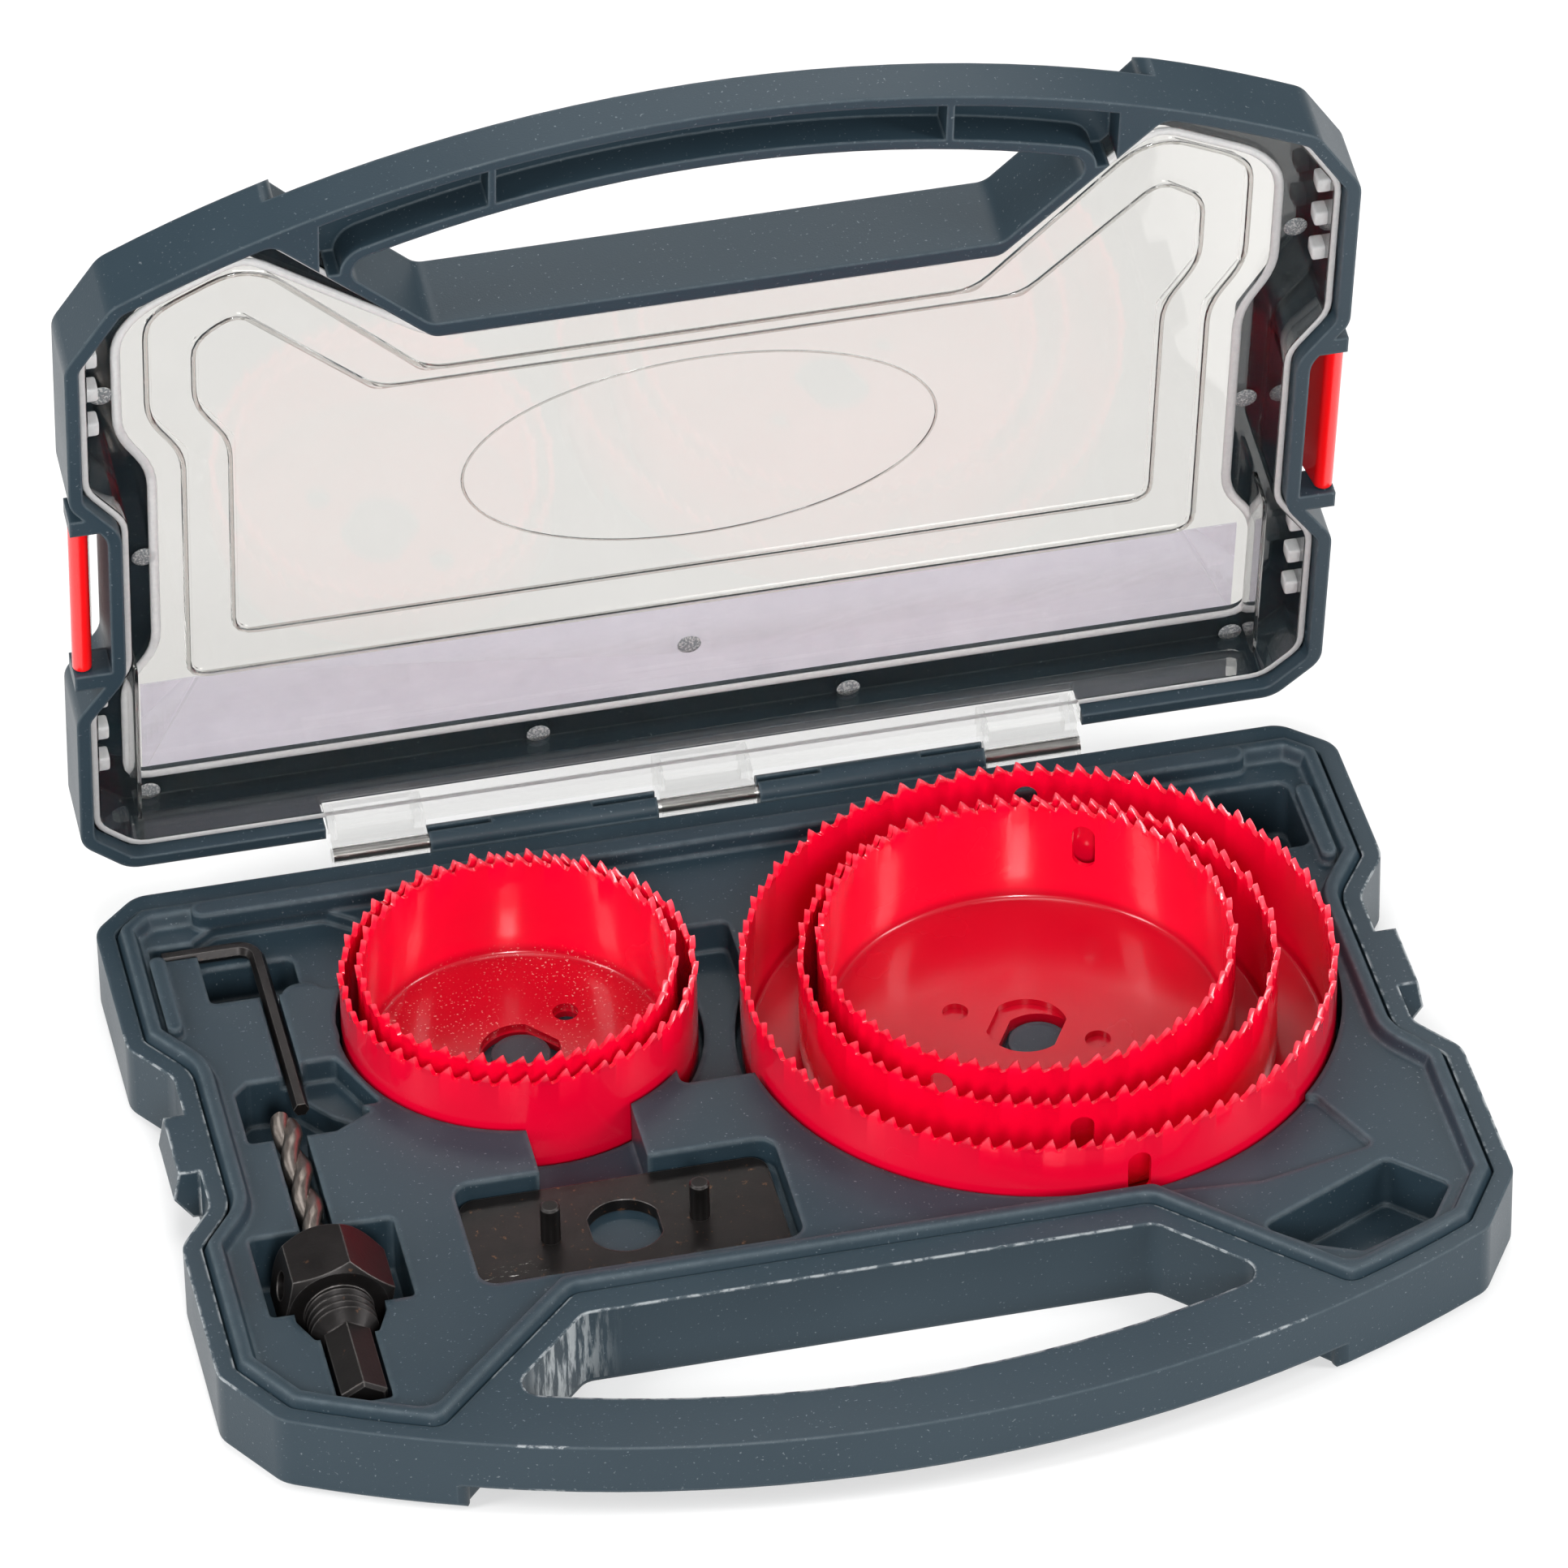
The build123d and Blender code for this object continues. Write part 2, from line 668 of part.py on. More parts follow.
with BuildPart() as arbor_body:
    with BuildSketch(across_y.offset(-arbor_hex_back_y)):
        RegularPolygon(arbor_hex / 2, 6, major_radius=False, rotation=arbor_hex_turn)
    extrude(amount=arbor_hex_back_y - arbor_hex_front_y)
    # the corners of the hexagon are turned off to a cone at both ends
    hex_corner = arbor_hex / math.sqrt(3)
    for end_y, inward, bevel in (
        (arbor_hex_back_y, -1, arbor_back_bevel),
        (arbor_hex_front_y, 1, arbor_front_bevel),
    ):
        with BuildSketch(along_y):
            with BuildLine():
                Polyline(
                    (end_y - inward * 0.5, arbor_hex / 2 - 0.4),
                    (end_y - inward * 0.5, hex_corner + 2),
                    (end_y + inward * bevel, hex_corner + 2),
                    (end_y + inward * bevel, hex_corner + 0.01),
                    (end_y, arbor_hex / 2 - 0.4),
                    close=True,
                )
            make_face()
        revolve(axis=arbor_axis, mode=Mode.SUBTRACT)

    # threaded stud, the cone below it and the shank
    with BuildSketch(along_y):
        with BuildLine():
            Polyline(
                (arbor_hex_front_y + 1, 0),
                (arbor_hex_front_y + 1, arbor_thread_d / 2),
                (thread_end_y, arbor_thread_d / 2),
                (cone_end_y, arbor_shank / 2),
                (cone_end_y, 0),
                close=True,
            )
        make_face()
    revolve(axis=arbor_axis)
    with BuildSketch(across_y.offset(-cone_end_y)):
        RegularPolygon(arbor_shank / 2, 6, major_radius=False, rotation=30)
    extrude(amount=cone_end_y - arbor_end_y)
    chamfer(arbor_body.faces().sort_by(Axis.Y)[0].edges(), 0.7)
    for turn in range(3):
        groove_y = arbor_hex_front_y - 0.9 - thread_pitch * turn
        with BuildSketch(along_y):
            with BuildLine():
                Polyline(
                    (groove_y, arbor_thread_d / 2 + 0.1),
                    (groove_y - thread_pitch / 2, arbor_thread_d / 2 - thread_groove),
                    (groove_y - thread_pitch + 0.2, arbor_thread_d / 2 + 0.1),
                    close=True,
                )
            make_face()
        revolve(axis=arbor_axis, mode=Mode.SUBTRACT)

    # the seat of the drill and the hole of the screw that holds it
    with BuildSketch(across_y.offset(-arbor_hex_back_y)):
        Circle(drill_d / 2 + arbor_bore_gap)
    extrude(amount=drill_seat, mode=Mode.SUBTRACT)
    with BuildSketch(screw_at):
        Circle(set_screw_d / 2 + arbor_bore_gap)
    extrude(amount=arbor_hex, mode=Mode.SUBTRACT)

arbor_body.part.label = "arbor_body"
export_step(arbor_body.part, "parts/arbor_body.step")
print("arbor_body", len(arbor_body.solids()), arbor_body.part.volume)

with BuildPart() as arbor_screw:
    with BuildSketch(screw_at.offset(drill_d / 2 + 0.1)):
        Circle(set_screw_d / 2)
    extrude(amount=set_screw)
    with BuildSketch(screw_at.offset(drill_d / 2 + 0.1 + set_screw)):
        RegularPolygon(set_screw_key / 2, 6, major_radius=False)
    extrude(amount=-2.6, mode=Mode.SUBTRACT)

arbor_screw.part.label = "arbor_screw"
export_step(arbor_screw.part, "parts/arbor_screw.step")
print("arbor_screw", len(arbor_screw.solids()), arbor_screw.part.volume)

with BuildPart() as pilot_drill:
    drill_back = arbor_hex_back_y - drill_seat + 0.1
    with BuildSketch(along_y):
        with BuildLine():
            Polyline(
                (drill_back, 0),
                (drill_back, drill_d / 2),
                (drill_tip_y - drill_point, drill_d / 2),
                (drill_tip_y, 0),
                close=True,
            )
        make_face()
    revolve(axis=arbor_axis)
    # two opposite flutes along the part that cuts
    for side in (-1, 1):
        with BuildSketch(across_y.offset(-drill_tip_y - 1)):
            with Locations((0, side * drill_d * 0.52)):
                Circle(drill_d * 0.34)
        extrude(amount=drill_tip_y - arbor_hex_back_y - 4, mode=Mode.SUBTRACT)

pilot_drill.part.label = "pilot_drill"
export_step(pilot_drill.part, "parts/pilot_drill.step")
print("pilot_drill", len(pilot_drill.solids()), pilot_drill.part.volume)


# =====================================================================================
# Backing plate with its two drive pins, and the hexagon key
# =====================================================================================
plate_z = plate_floor_z
pin_places = [
    (plate_centre[0] - drive_pin_pitch / 2, plate_centre[1] - 0.4),
    (plate_centre[0] + drive_pin_pitch / 2, plate_centre[1] - 0.4),
]

with BuildPart() as backing_plate:
    with BuildSketch(Plane.XY.offset(plate_z)):
        with Locations(plate_centre):
            RectangleRounded(plate_size[0], plate_size[1], plate_round)
            add(flatted_hole(plate_hole, plate_flats), mode=Mode.SUBTRACT)
        with Locations(*pin_places):
            Circle(drive_pin_d / 2 + 0.02, mode=Mode.SUBTRACT)
    extrude(amount=plate_thick)

backing_plate.part.label = "backing_plate"
export_step(backing_plate.part, "parts/backing_plate.step")
print("backing_plate", len(backing_plate.solids()), backing_plate.part.volume)

with BuildPart() as drive_pins:
    with BuildSketch(Plane.XY.offset(plate_z)):
        with Locations(*pin_places):
            Circle(drive_pin_d / 2)
    extrude(amount=plate_thick + drive_pin_rise)
    chamfer(drive_pins.edges().group_by(Axis.Z)[-1], 0.4)

drive_pins.part.label = "drive_pins"
export_step(drive_pins.part, "parts/drive_pins.step")
print("drive_pins", len(drive_pins.solids()), drive_pins.part.volume)

with BuildPart() as hex_key:
    key_z = key_floor_z + key_size / 2
    key_x, key_y = key_corner
    with BuildLine() as key_path:
        FilletPolyline(
            (key_x - key_short, key_y, key_z),
            (key_x, key_y, key_z),
            (key_x, key_y - key_long, key_z),
            radius=key_bend,
        )
    with BuildSketch(Plane(origin=(key_x - key_short, key_y, key_z), x_dir=(0, 1, 0), z_dir=(1, 0, 0))):
        RegularPolygon(key_size / 2, 6, major_radius=False)
    sweep()

hex_key.part.label = "hex_key"
export_step(hex_key.part, "parts/hex_key.step")
print("hex_key", len(hex_key.solids()), hex_key.part.volume)


# =====================================================================================
# Lid, drawn closed on the base and then turned open about the hinge
# =====================================================================================
hinge_axis = Axis((0, hinge_y, hinge_z), (1, 0, 0))
lid_low_z = base_height + lid_gap
lid_top_z = base_height + lid_depth
pane_out_z = lid_top_z - lid_roof - 0.1
pane_in_z = pane_out_z - window_pane
shell_rim_z = base_height + window_rim
shell_inset = lid_wall + window_fit
shell_handle_inset = grip_flange - 2.4
cut_half_w = 84.0


def opened(shape):
    """A closed-lid shape turned to the open position."""
    return shape.rotate(hinge_axis, -lid_open)


def shell_face(inset):
    """The plan of the clear shell, drawn in by inset from its outer face."""
    return interior_face(shell_inset + inset, shell_inset + inset, shell_handle_inset + inset, tray_round)


def window_face():
    """The opening in the roof of the lid that the pane shows through."""
    side = case_half_w - pane_margin
    jog = side - pane_jog
    right = [(side, pane_back_y), (side, 58), (jog, 48), (jog, -7.6), (side, -19.7), (side, -48)]
    right += [(side - 5.4, -55.5), (side - 27.4, -67), (grip_half_w - 3.6, pane_front_y)]
    with BuildSketch() as face:
        with BuildLine():
            Polyline(*mirrored(right), close=True)
        make_face()
        fillet(face.vertices(), pane_round)
    return face.sketch


def pressed_line(right):
    """A closed line of groove_width round the points of its right half, with rounded corners."""
    with BuildSketch() as face:
        with BuildLine():
            Polyline(*mirrored(right), close=True)
        make_face()
        fillet(face.vertices(), pane_round)
        offset(amount=-groove_width, kind=Kind.ARC, mode=Mode.SUBTRACT)
    return face.sketch


with BuildPart() as lid_frame:
    with BuildSketch(Plane.XY.offset(lid_low_z)):
        add(case_face())
    extrude(amount=lid_top_z - lid_low_z)
    chamfer(lid_frame.edges().group_by(Axis.Z)[-1], lid_edge_chamfer)
    with BuildSketch(Plane.XY.offset(lid_low_z + lid_handle_depth)):
        add(handle_face())
    extrude(amount=lid_depth, mode=Mode.SUBTRACT)
    with BuildSketch(Plane.XY.offset(lid_low_z)):
        add(grip_face())
    extrude(amount=lid_depth, mode=Mode.SUBTRACT)

    # ears that carry the latches
    for side in (-1, 1):
        for end_y in (latch_back_y + latch_side_gap + ear / 2, latch_front_y - latch_side_gap - ear / 2):
            with Locations((side * (case_half_w - recess_depth / 2 - 0.6), end_y, lid_low_z + ear_top / 2)):
                Box(recess_depth + 1.2, ear, ear_top)

    # the space that the clear shell drops into, and the opening it shows through
    with BuildSketch(Plane.XY.offset(lid_low_z)):
        add(interior_face(lid_wall, lid_wall, shell_handle_inset - window_fit, tray_round))
    extrude(amount=lid_top_z - lid_roof - lid_low_z, mode=Mode.SUBTRACT)
    with BuildSketch(Plane.XY.offset(lid_top_z - lid_roof - 1)):
        add(window_face())
    extrude(amount=lid_roof + 2, mode=Mode.SUBTRACT)

    # the handle is hollow towards the base
    with BuildSketch(Plane.XY.offset(lid_low_z)):
        add(channel_face())
    extrude(amount=lid_handle_depth - handle_roof, mode=Mode.SUBTRACT)

    # the back wall is cut away between the knuckles
    with Locations((0, back_y, lid_low_z + knuckle_top / 2 - 0.5)):
        Box(2 * cut_half_w, 2 * lid_wall + 0.4, knuckle_top + 1, mode=Mode.SUBTRACT)

    # bores for the trunnions of the latches
    for side in (-1, 1):
        with Locations((side * latch_x, (latch_back_y + latch_front_y) / 2, base_height + latch_rise)):
            Cylinder(
                trunnion_d / 2 + pin_clear,
                latch_back_y - latch_front_y + 2 * (latch_side_gap + trunnion + 0.2),
                rotation=(90, 0, 0),
                mode=Mode.SUBTRACT,
            )

lid_frame_open = opened(lid_frame.part)
lid_frame_open.label = "lid_frame"
export_step(lid_frame_open, "parts/lid_frame.step")
print("lid_frame", len(lid_frame.solids()), lid_frame.part.volume)

with BuildPart() as lid_window:
    with BuildSketch(Plane.XY.offset(shell_rim_z)):
        add(shell_face(0))
    extrude(amount=pane_out_z - shell_rim_z)
    with BuildSketch(Plane.XY.offset(shell_rim_z)):
        add(shell_face(window_wall))
    extrude(amount=pane_in_z - shell_rim_z, mode=Mode.SUBTRACT)

    # the strip that fills the cut in the back wall, with the hinge knuckles on it
    strip_low_z = lid_low_z + 0.3
    strip_top_z = lid_low_z + knuckle_top - 0.4
    strip_in_y = back_y - shell_inset - window_wall
    with Locations((0, (strip_in_y + back_y - 1) / 2, (strip_low_z + strip_top_z) / 2)):
        Box(2 * cut_half_w - 0.8, back_y - 1 - strip_in_y, strip_top_z - strip_low_z)
    for middle in (-knuckle_x, 0, knuckle_x):
        with Locations((middle, (back_y - 1.5 + hinge_y + 1.5) / 2, (strip_low_z + strip_top_z - 1) / 2)):
            Box(knuckle_width, hinge_y - back_y + 3, strip_top_z - strip_low_z - 1)
        with Locations((middle, hinge_y, hinge_z)):
            Cylinder(barrel_radius, knuckle_width, rotation=(0, 90, 0))
        with Locations((middle, hinge_y, hinge_z)):
            Cylinder(hinge_pin_d / 2 + pin_clear, knuckle_width + 1, rotation=(0, 90, 0), mode=Mode.SUBTRACT)
        # the block above the pin is hollow between its end ribs
        with Locations((middle, hinge_y - 0.6, strip_top_z - 1)):
            Box(knuckle_width - 2 * knuckle_skin, 6.4, 9, mode=Mode.SUBTRACT)

    # two pressed lines that frame the pane on its outer face
    line_x = case_half_w - pane_margin - pane_jog + groove_width / 2
    outer_line = [(line_x - 7.4, 59), (line_x - 7.4, -10.7), (line_x, -22.8), (line_x, -51), (line_x - 4, -55.5)]
    outer_line += [(line_x - 18, -62.8), (line_x - 26, -61), (grip_half_w - 1.7, -25.8)]
    inner_line = [(line_x - 17.4, 47.4), (line_x - 17.4, -12.7), (line_x - 10, -24.8), (line_x - 10, -44)]
    inner_line += [(line_x - 19.5, -50.9), (grip_half_w + 8.6, -22.3)]
    for line in (outer_line, inner_line):
        with BuildSketch(Plane.XY.offset(pane_out_z)):
            add(pressed_line(line))
        extrude(amount=-groove_depth, mode=Mode.SUBTRACT)

lid_window_open = opened(lid_window.part)
lid_window_open.label = "lid_window"
export_step(lid_window_open, "parts/lid_window.step")
print("lid_window", len(lid_window.solids()), lid_window.part.volume)

with BuildPart() as label_strip:
    with BuildSketch(Plane.XY.offset(pane_out_z)):
        with Locations((0, (label_back_y + label_front_y) / 2)):
            Rectangle(2 * label_half_w, label_back_y - label_front_y)
    extrude(amount=label_thick)

label_strip_open = opened(label_strip.part)
label_strip_open.label = "label_strip"
export_step(label_strip_open, "parts/label_strip.step")
print("label_strip", len(label_strip.solids()), label_strip.part.volume)


# =====================================================================================
# Latches: one on each side of the lid, folded up against it
# =====================================================================================
latch_axis_z = base_height + latch_rise


def latch(name, side):
    """A latch plate on its barrel, with trunnions at the ends and a hook along the far edge."""
    middle_y = (latch_back_y + latch_front_y) / 2
    long = latch_back_y - latch_front_y
    plate_mid_x = side * (latch_x + (latch_plate_in + latch_plate_out) / 2)
    lip_mid_x = side * (latch_x + latch_plate_in - latch_lip_in / 2 + 0.25)
    with BuildPart() as flap:
        with Locations((side * latch_x, middle_y, latch_axis_z)):
            Cylinder(latch_barrel, long, rotation=(90, 0, 0))
            Cylinder(trunnion_d / 2, long + 2 * (latch_side_gap + trunnion), rotation=(90, 0, 0))
        with Locations((plate_mid_x, middle_y, latch_axis_z - latch_reach / 2)):
            Box(latch_plate_out - latch_plate_in, long, latch_reach)
        with Locations((lip_mid_x, middle_y, latch_axis_z - latch_reach + latch_lip / 2)):
            Box(latch_lip_in + 0.5, keeper_back_y - keeper_front_y + 6, latch_lip)
    swing_axis = Axis((side * latch_x, 0, latch_axis_z), (0, 1, 0))
    swung = flap.part.rotate(swing_axis, -side * latch_fold)
    turned = opened(swung)
    turned.label = name
    export_step(turned, "parts/" + name + ".step")
    print(name, len(turned.solids()), turned.volume)


latch("latch_left", -1)
latch("latch_right", 1)


# =====================================================================================
# Hinge pins: one long pin in the middle and two short ones, pressed into the barrels
# =====================================================================================
with BuildPart() as hinge_pin_middle:
    with Locations((0, hinge_y, hinge_z)):
        Cylinder(hinge_pin_d / 2, knuckle_width + 2 * pin_grip, rotation=(0, 90, 0))

hinge_pin_middle.part.label = "hinge_pin_middle"
export_step(hinge_pin_middle.part, "parts/hinge_pin_middle.step")
print("hinge_pin_middle", len(hinge_pin_middle.solids()), hinge_pin_middle.part.volume)

with BuildPart() as hinge_pins_outer:
    for side in (-1, 1):
        with Locations((side * (knuckle_x - pin_grip / 2), hinge_y, hinge_z)):
            Cylinder(hinge_pin_d / 2, knuckle_width + pin_grip, rotation=(0, 90, 0))

hinge_pins_outer.part.label = "hinge_pins_outer"
export_step(hinge_pins_outer.part, "parts/hinge_pins_outer.step")
print("hinge_pins_outer", len(hinge_pins_outer.solids()), hinge_pins_outer.part.volume)
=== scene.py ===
"""Hole saw carry case, open, with its kit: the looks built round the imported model."""

import bmesh
import bpy
import numpy as np
from mathutils import Matrix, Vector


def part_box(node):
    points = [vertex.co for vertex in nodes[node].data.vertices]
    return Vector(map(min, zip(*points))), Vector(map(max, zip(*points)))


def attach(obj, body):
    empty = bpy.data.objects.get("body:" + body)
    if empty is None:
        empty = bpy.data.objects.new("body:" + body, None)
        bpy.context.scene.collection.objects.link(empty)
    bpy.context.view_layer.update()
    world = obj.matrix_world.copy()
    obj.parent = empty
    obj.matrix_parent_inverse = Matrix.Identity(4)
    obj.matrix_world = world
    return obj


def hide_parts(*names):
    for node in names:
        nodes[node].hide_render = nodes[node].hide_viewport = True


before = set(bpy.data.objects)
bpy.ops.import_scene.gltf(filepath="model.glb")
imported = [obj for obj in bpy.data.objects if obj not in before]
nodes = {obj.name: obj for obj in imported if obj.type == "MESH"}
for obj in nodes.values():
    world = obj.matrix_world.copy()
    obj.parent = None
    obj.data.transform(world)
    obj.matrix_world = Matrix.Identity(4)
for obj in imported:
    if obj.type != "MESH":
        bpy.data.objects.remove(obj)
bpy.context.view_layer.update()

# ---- Table, lamps and camera ----------------------------------------------------------------
# The open case lies on white paper under large soft lamps. The camera stands nearly two and a
# half metres off, to the front left and above, with a long lens that hardly foreshortens.
camera_data = bpy.data.cameras.new("camera")
camera_data.sensor_width = 36.0
camera_data.lens = 261.223
camera_data.clip_end = 20.0
camera = bpy.data.objects.new("camera", camera_data)
camera.matrix_world = Matrix(
    (
        (0.97615454, 0.14714514, -0.15959521, -0.37815338),
        (-0.21652152, 0.60744136, -0.76428622, -1.78899294),
        (-0.01551627, 0.78061726, 0.62481673, 1.56742585),
        (0.0, 0.0, 0.0, 1.0),
    )
)
bpy.context.scene.collection.objects.link(camera)
bpy.context.scene.camera = camera
bpy.context.scene.view_settings.view_transform = "Standard"


def soft_lamp(name, place, size, watts):
    """A rectangular lamp at place that looks at the middle of the case."""
    data = bpy.data.lights.new(name, "AREA")
    data.shape = "RECTANGLE"
    data.size, data.size_y = size
    data.energy = watts
    lamp = bpy.data.objects.new(name, data)
    case_middle = np.array((0.0, 0.03, 0.05))
    back = np.array(place) - case_middle
    back = back / np.linalg.norm(back)
    side = np.cross((0.0, 0.0, 1.0), back)
    side = side / np.linalg.norm(side)
    turn = np.eye(4)
    turn[:3] = np.stack([side, np.cross(back, side), back, place], 1)
    lamp.matrix_world = Matrix(turn)
    bpy.context.scene.collection.objects.link(lamp)


soft_lamp("back_lamp", (0.25, 1.05, 1.25), (1.2, 0.35), 7.0)
soft_lamp("top_lamp", (-0.1, 0.0, 1.5), (0.7, 0.7), 5.0)
soft_lamp("left_lamp", (-1.3, -0.2, 0.80), (0.3, 1.1), 13.0)
soft_lamp("right_lamp", (1.3, -0.5, 0.75), (0.3, 1.1), 13.0)
soft_lamp("front_lamp", (-0.2, -1.6, 0.95), (0.3, 0.5), 21.0)

studio = bpy.data.worlds.new("studio")
studio.use_nodes = True
sky = studio.node_tree.nodes["Background"].inputs
sky["Color"].default_value = (1.0, 0.995, 0.985, 1.0)
sky["Strength"].default_value = 0.42
bpy.context.scene.world = studio


def bare_mesh(name, points, faces):
    """A mesh object in the scene, from an array of points and a list of faces."""
    mesh = bpy.data.meshes.new(name)
    mesh.from_pydata(np.asarray(points).tolist(), [], faces)
    mesh.update()
    piece = bpy.data.objects.new(name, mesh)
    bpy.context.scene.collection.objects.link(piece)
    return piece


def new_piece(name, points, faces, body, material, smooth=True):
    """A mesh piece fixed to a body of the case, or a piece of the stage where body is None."""
    piece = bare_mesh(name, points, faces)
    piece.data.materials.append(material)
    piece.data.polygons.foreach_set("use_smooth", [smooth] * len(piece.data.polygons))
    if body is None:
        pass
    else:
        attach(piece, body)
    return piece


class Wire:
    """A node's output in shader sums. Arithmetic on it adds the Math nodes that work it out."""

    def __init__(self, finish, socket):
        self.finish = finish
        self.socket = socket

    def maths(self, operation, first, second):
        return self.finish.node("Math", {"operation": operation}, {0: first, 1: second})

    def __add__(self, other):
        return self.maths("ADD", self, other)

    def __radd__(self, other):
        return self.maths("ADD", other, self)

    def __sub__(self, other):
        return self.maths("SUBTRACT", self, other)

    def __rsub__(self, other):
        return self.maths("SUBTRACT", other, self)

    def __mul__(self, other):
        return self.maths("MULTIPLY", self, other)

    def __rmul__(self, other):
        return self.maths("MULTIPLY", other, self)

    def __gt__(self, other):
        return self.maths("GREATER_THAN", self, other)

    def __lt__(self, other):
        return self.maths("LESS_THAN", self, other)

    def smooth(self, low, high):
        """0 below low, 1 above high, and a soft step between."""
        settings = {"interpolation_type": "SMOOTHSTEP"}
        return self.finish.node("MapRange", settings, {0: self, 1: low, 2: high, 3: 0.0, 4: 1.0})


class Finish:
    """A material with its own Principled shader. Constants are set straight on the shader."""

    def __init__(self, name, **constants):
        self.material = bpy.data.materials.new(name)
        self.material.use_nodes = True
        self.tree = self.material.node_tree
        self.shader = self.tree.nodes["Principled BSDF"]
        for socket, value in constants.items():
            self.shader.inputs[socket.replace("_", " ")].default_value = value

    def node(self, kind, settings=None, values=None, output=0):
        """Adds a node, sets its settings and then its sockets, and gives one of its outputs."""
        made = self.tree.nodes.new("ShaderNode" + kind)
        for setting, value in (settings or {}).items():
            setattr(made, setting, value)
        for socket, value in (values or {}).items():
            self.join(made.inputs[socket], value)
        return Wire(self, made.outputs[output])

    def join(self, socket, value):
        """Links a wire to the socket, or sets the socket's own value."""
        if isinstance(value, Wire):
            self.tree.links.new(value.socket, socket)
        elif isinstance(value, tuple) and len(value) == 3 and socket.type == "RGBA":
            socket.default_value = (*value, 1.0)
        else:
            socket.default_value = value

    def set(self, socket, value):
        self.join(self.shader.inputs[socket], value)

    def place(self):
        """Where a point of the piece is, in metres."""
        return self.node("TexCoord", output="Object")

    def xyz(self):
        """The three coordinates of a point of the piece, each as a wire."""
        split = self.node("SeparateXYZ", values={0: self.place()})
        outputs = split.socket.node.outputs
        return [Wire(self, outputs[k]) for k in range(3)]

    def noise(self, scale, detail=2.0, rough=0.5, at=None):
        values = {"Vector": at or self.place(), "Scale": scale}
        return self.node("TexNoise", values={**values, "Detail": detail, "Roughness": rough})

    def streaks(self, scales, detail, rough=0.5):
        """Noise drawn out into streaks: each axis has a scale of its own."""
        stretched = self.node("Mapping", values={"Vector": self.place(), "Scale": scales})
        return self.noise(1.0, detail, rough, at=stretched)

    def mix(self, amount, first, second):
        """The first colour where amount is 0, the second where it is 1."""
        values = {0: amount, 6: first, 7: second}
        return self.node("Mix", {"data_type": "RGBA"}, values, output=2)

    def rounded(self, radius):
        """The normal with sharp edges softened, and how near an edge the point is."""
        soft = self.node("Bevel", {"samples": 4}, {"Radius": radius})
        true = self.node("NewGeometry", output="Normal")
        settings = {"operation": "DOT_PRODUCT"}
        flat = self.node("VectorMath", settings, {0: soft, 1: true}, output="Value")
        return soft, (1.0 - flat).smooth(0.004, 0.16)

    def bump(self, height, distance, strength, normal=None):
        values = {"Height": height, "Distance": distance, "Strength": strength}
        if normal is not None:
            values["Normal"] = normal
        self.set("Normal", self.node("Bump", values=values))


paper = Finish("white_paper", Roughness=0.85, Emission_Strength=0.42)
paper.set("Base Color", paper.mix(paper.noise(40.0), (0.55, 0.55, 0.55), (0.58, 0.58, 0.58)))
paper.set("Emission Color", (1.0, 1.0, 1.0))
paper_reach = 6.0
corners = np.array([(-1, -1, 0), (1, -1, 0), (1, 1, 0), (-1, 1, 0)]) * paper_reach
new_piece("floor", corners, [(0, 1, 2, 3)], None, paper.material, smooth=False)

# ---- Base pan, tray and lid frame -----------------------------------------------------------
# Three injection mouldings in dark slate plastic with a fine sparked texture. The tray is
# pressed under the ledge of the pan, and the clear shell snaps into the lid frame. Their edges
# are worn pale where hands and the latches rub, and every edge is painted a little paler,
# partly as wear and partly as painted highlight.


def slate_plastic(name, edge_radius, worn_boxes=()):
    """Slate grey moulded plastic: specks, softened edges painted paler as wear and painted
    highlight, and pale wear inside the boxes.

    A worn box is (low corner, high corner) in metres, and the wear follows its edges only. A
    worn piece is also rubbed in streaks at the left end of its grip hole.
    """
    finish = Finish(name, IOR=1.5, Specular_IOR_Level=0.28)
    soft, edge = finish.rounded(edge_radius)
    grain = finish.noise(2600.0)
    cloud = finish.noise(30.0, 3.0)
    fleck = finish.noise(1500.0, 1.0).smooth(0.70, 0.78)
    colour = finish.mix(cloud, (0.016, 0.031, 0.043), (0.024, 0.042, 0.056))
    colour = finish.mix(fleck * 0.5, colour, (0.20, 0.23, 0.25))
    # every edge is painted paler in patches: partly wear, partly painted highlight on the rounded
    # edges
    edge_wear_and_highlight_patches = finish.noise(420.0, 3.0) * 0.8 + 0.1
    colour = finish.mix(edge * edge_wear_and_highlight_patches, colour, (0.15, 0.19, 0.215))
    if worn_boxes:
        x, y, z = finish.xyz()
        worn = 0.0
        for low, high in worn_boxes:
            inside = (x > low[0]) * (x < high[0]) * (y > low[1]) * (y < high[1])
            inside = inside * (z > low[2]) * (z < high[2])
            worn = finish.node("Math", {"operation": "MAXIMUM"}, {0: worn, 1: inside})
        scuff = finish.noise(300.0, 4.0, 0.7).smooth(0.42, 0.56)
        colour = finish.mix(worn * edge * scuff, colour, (0.62, 0.66, 0.68))
        grip_end = (x > -0.0770) * (1.0 - x.smooth(-0.066, -0.052))
        grip_end = grip_end * y.smooth(-0.071, -0.066) * (y < -0.044)
        grip_wall = (z > 0.0008) * (z < 0.0188)
        rubbed = finish.streaks((700.0, 160.0, 90.0), 4.0, 0.65).smooth(0.44, 0.60)
        colour = finish.mix(grip_end * grip_wall * rubbed * 0.75, colour, (0.42, 0.45, 0.46))
    finish.set("Base Color", colour)
    finish.set("Roughness", grain * 0.12 + cloud * 0.16 + 0.24)
    finish.bump(grain, 0.00006, 0.35, soft)
    return finish.material


def dress(title, material):
    """Gives a node of the model its only material."""
    materials = nodes[title].data.materials
    materials.clear()
    materials.append(material)


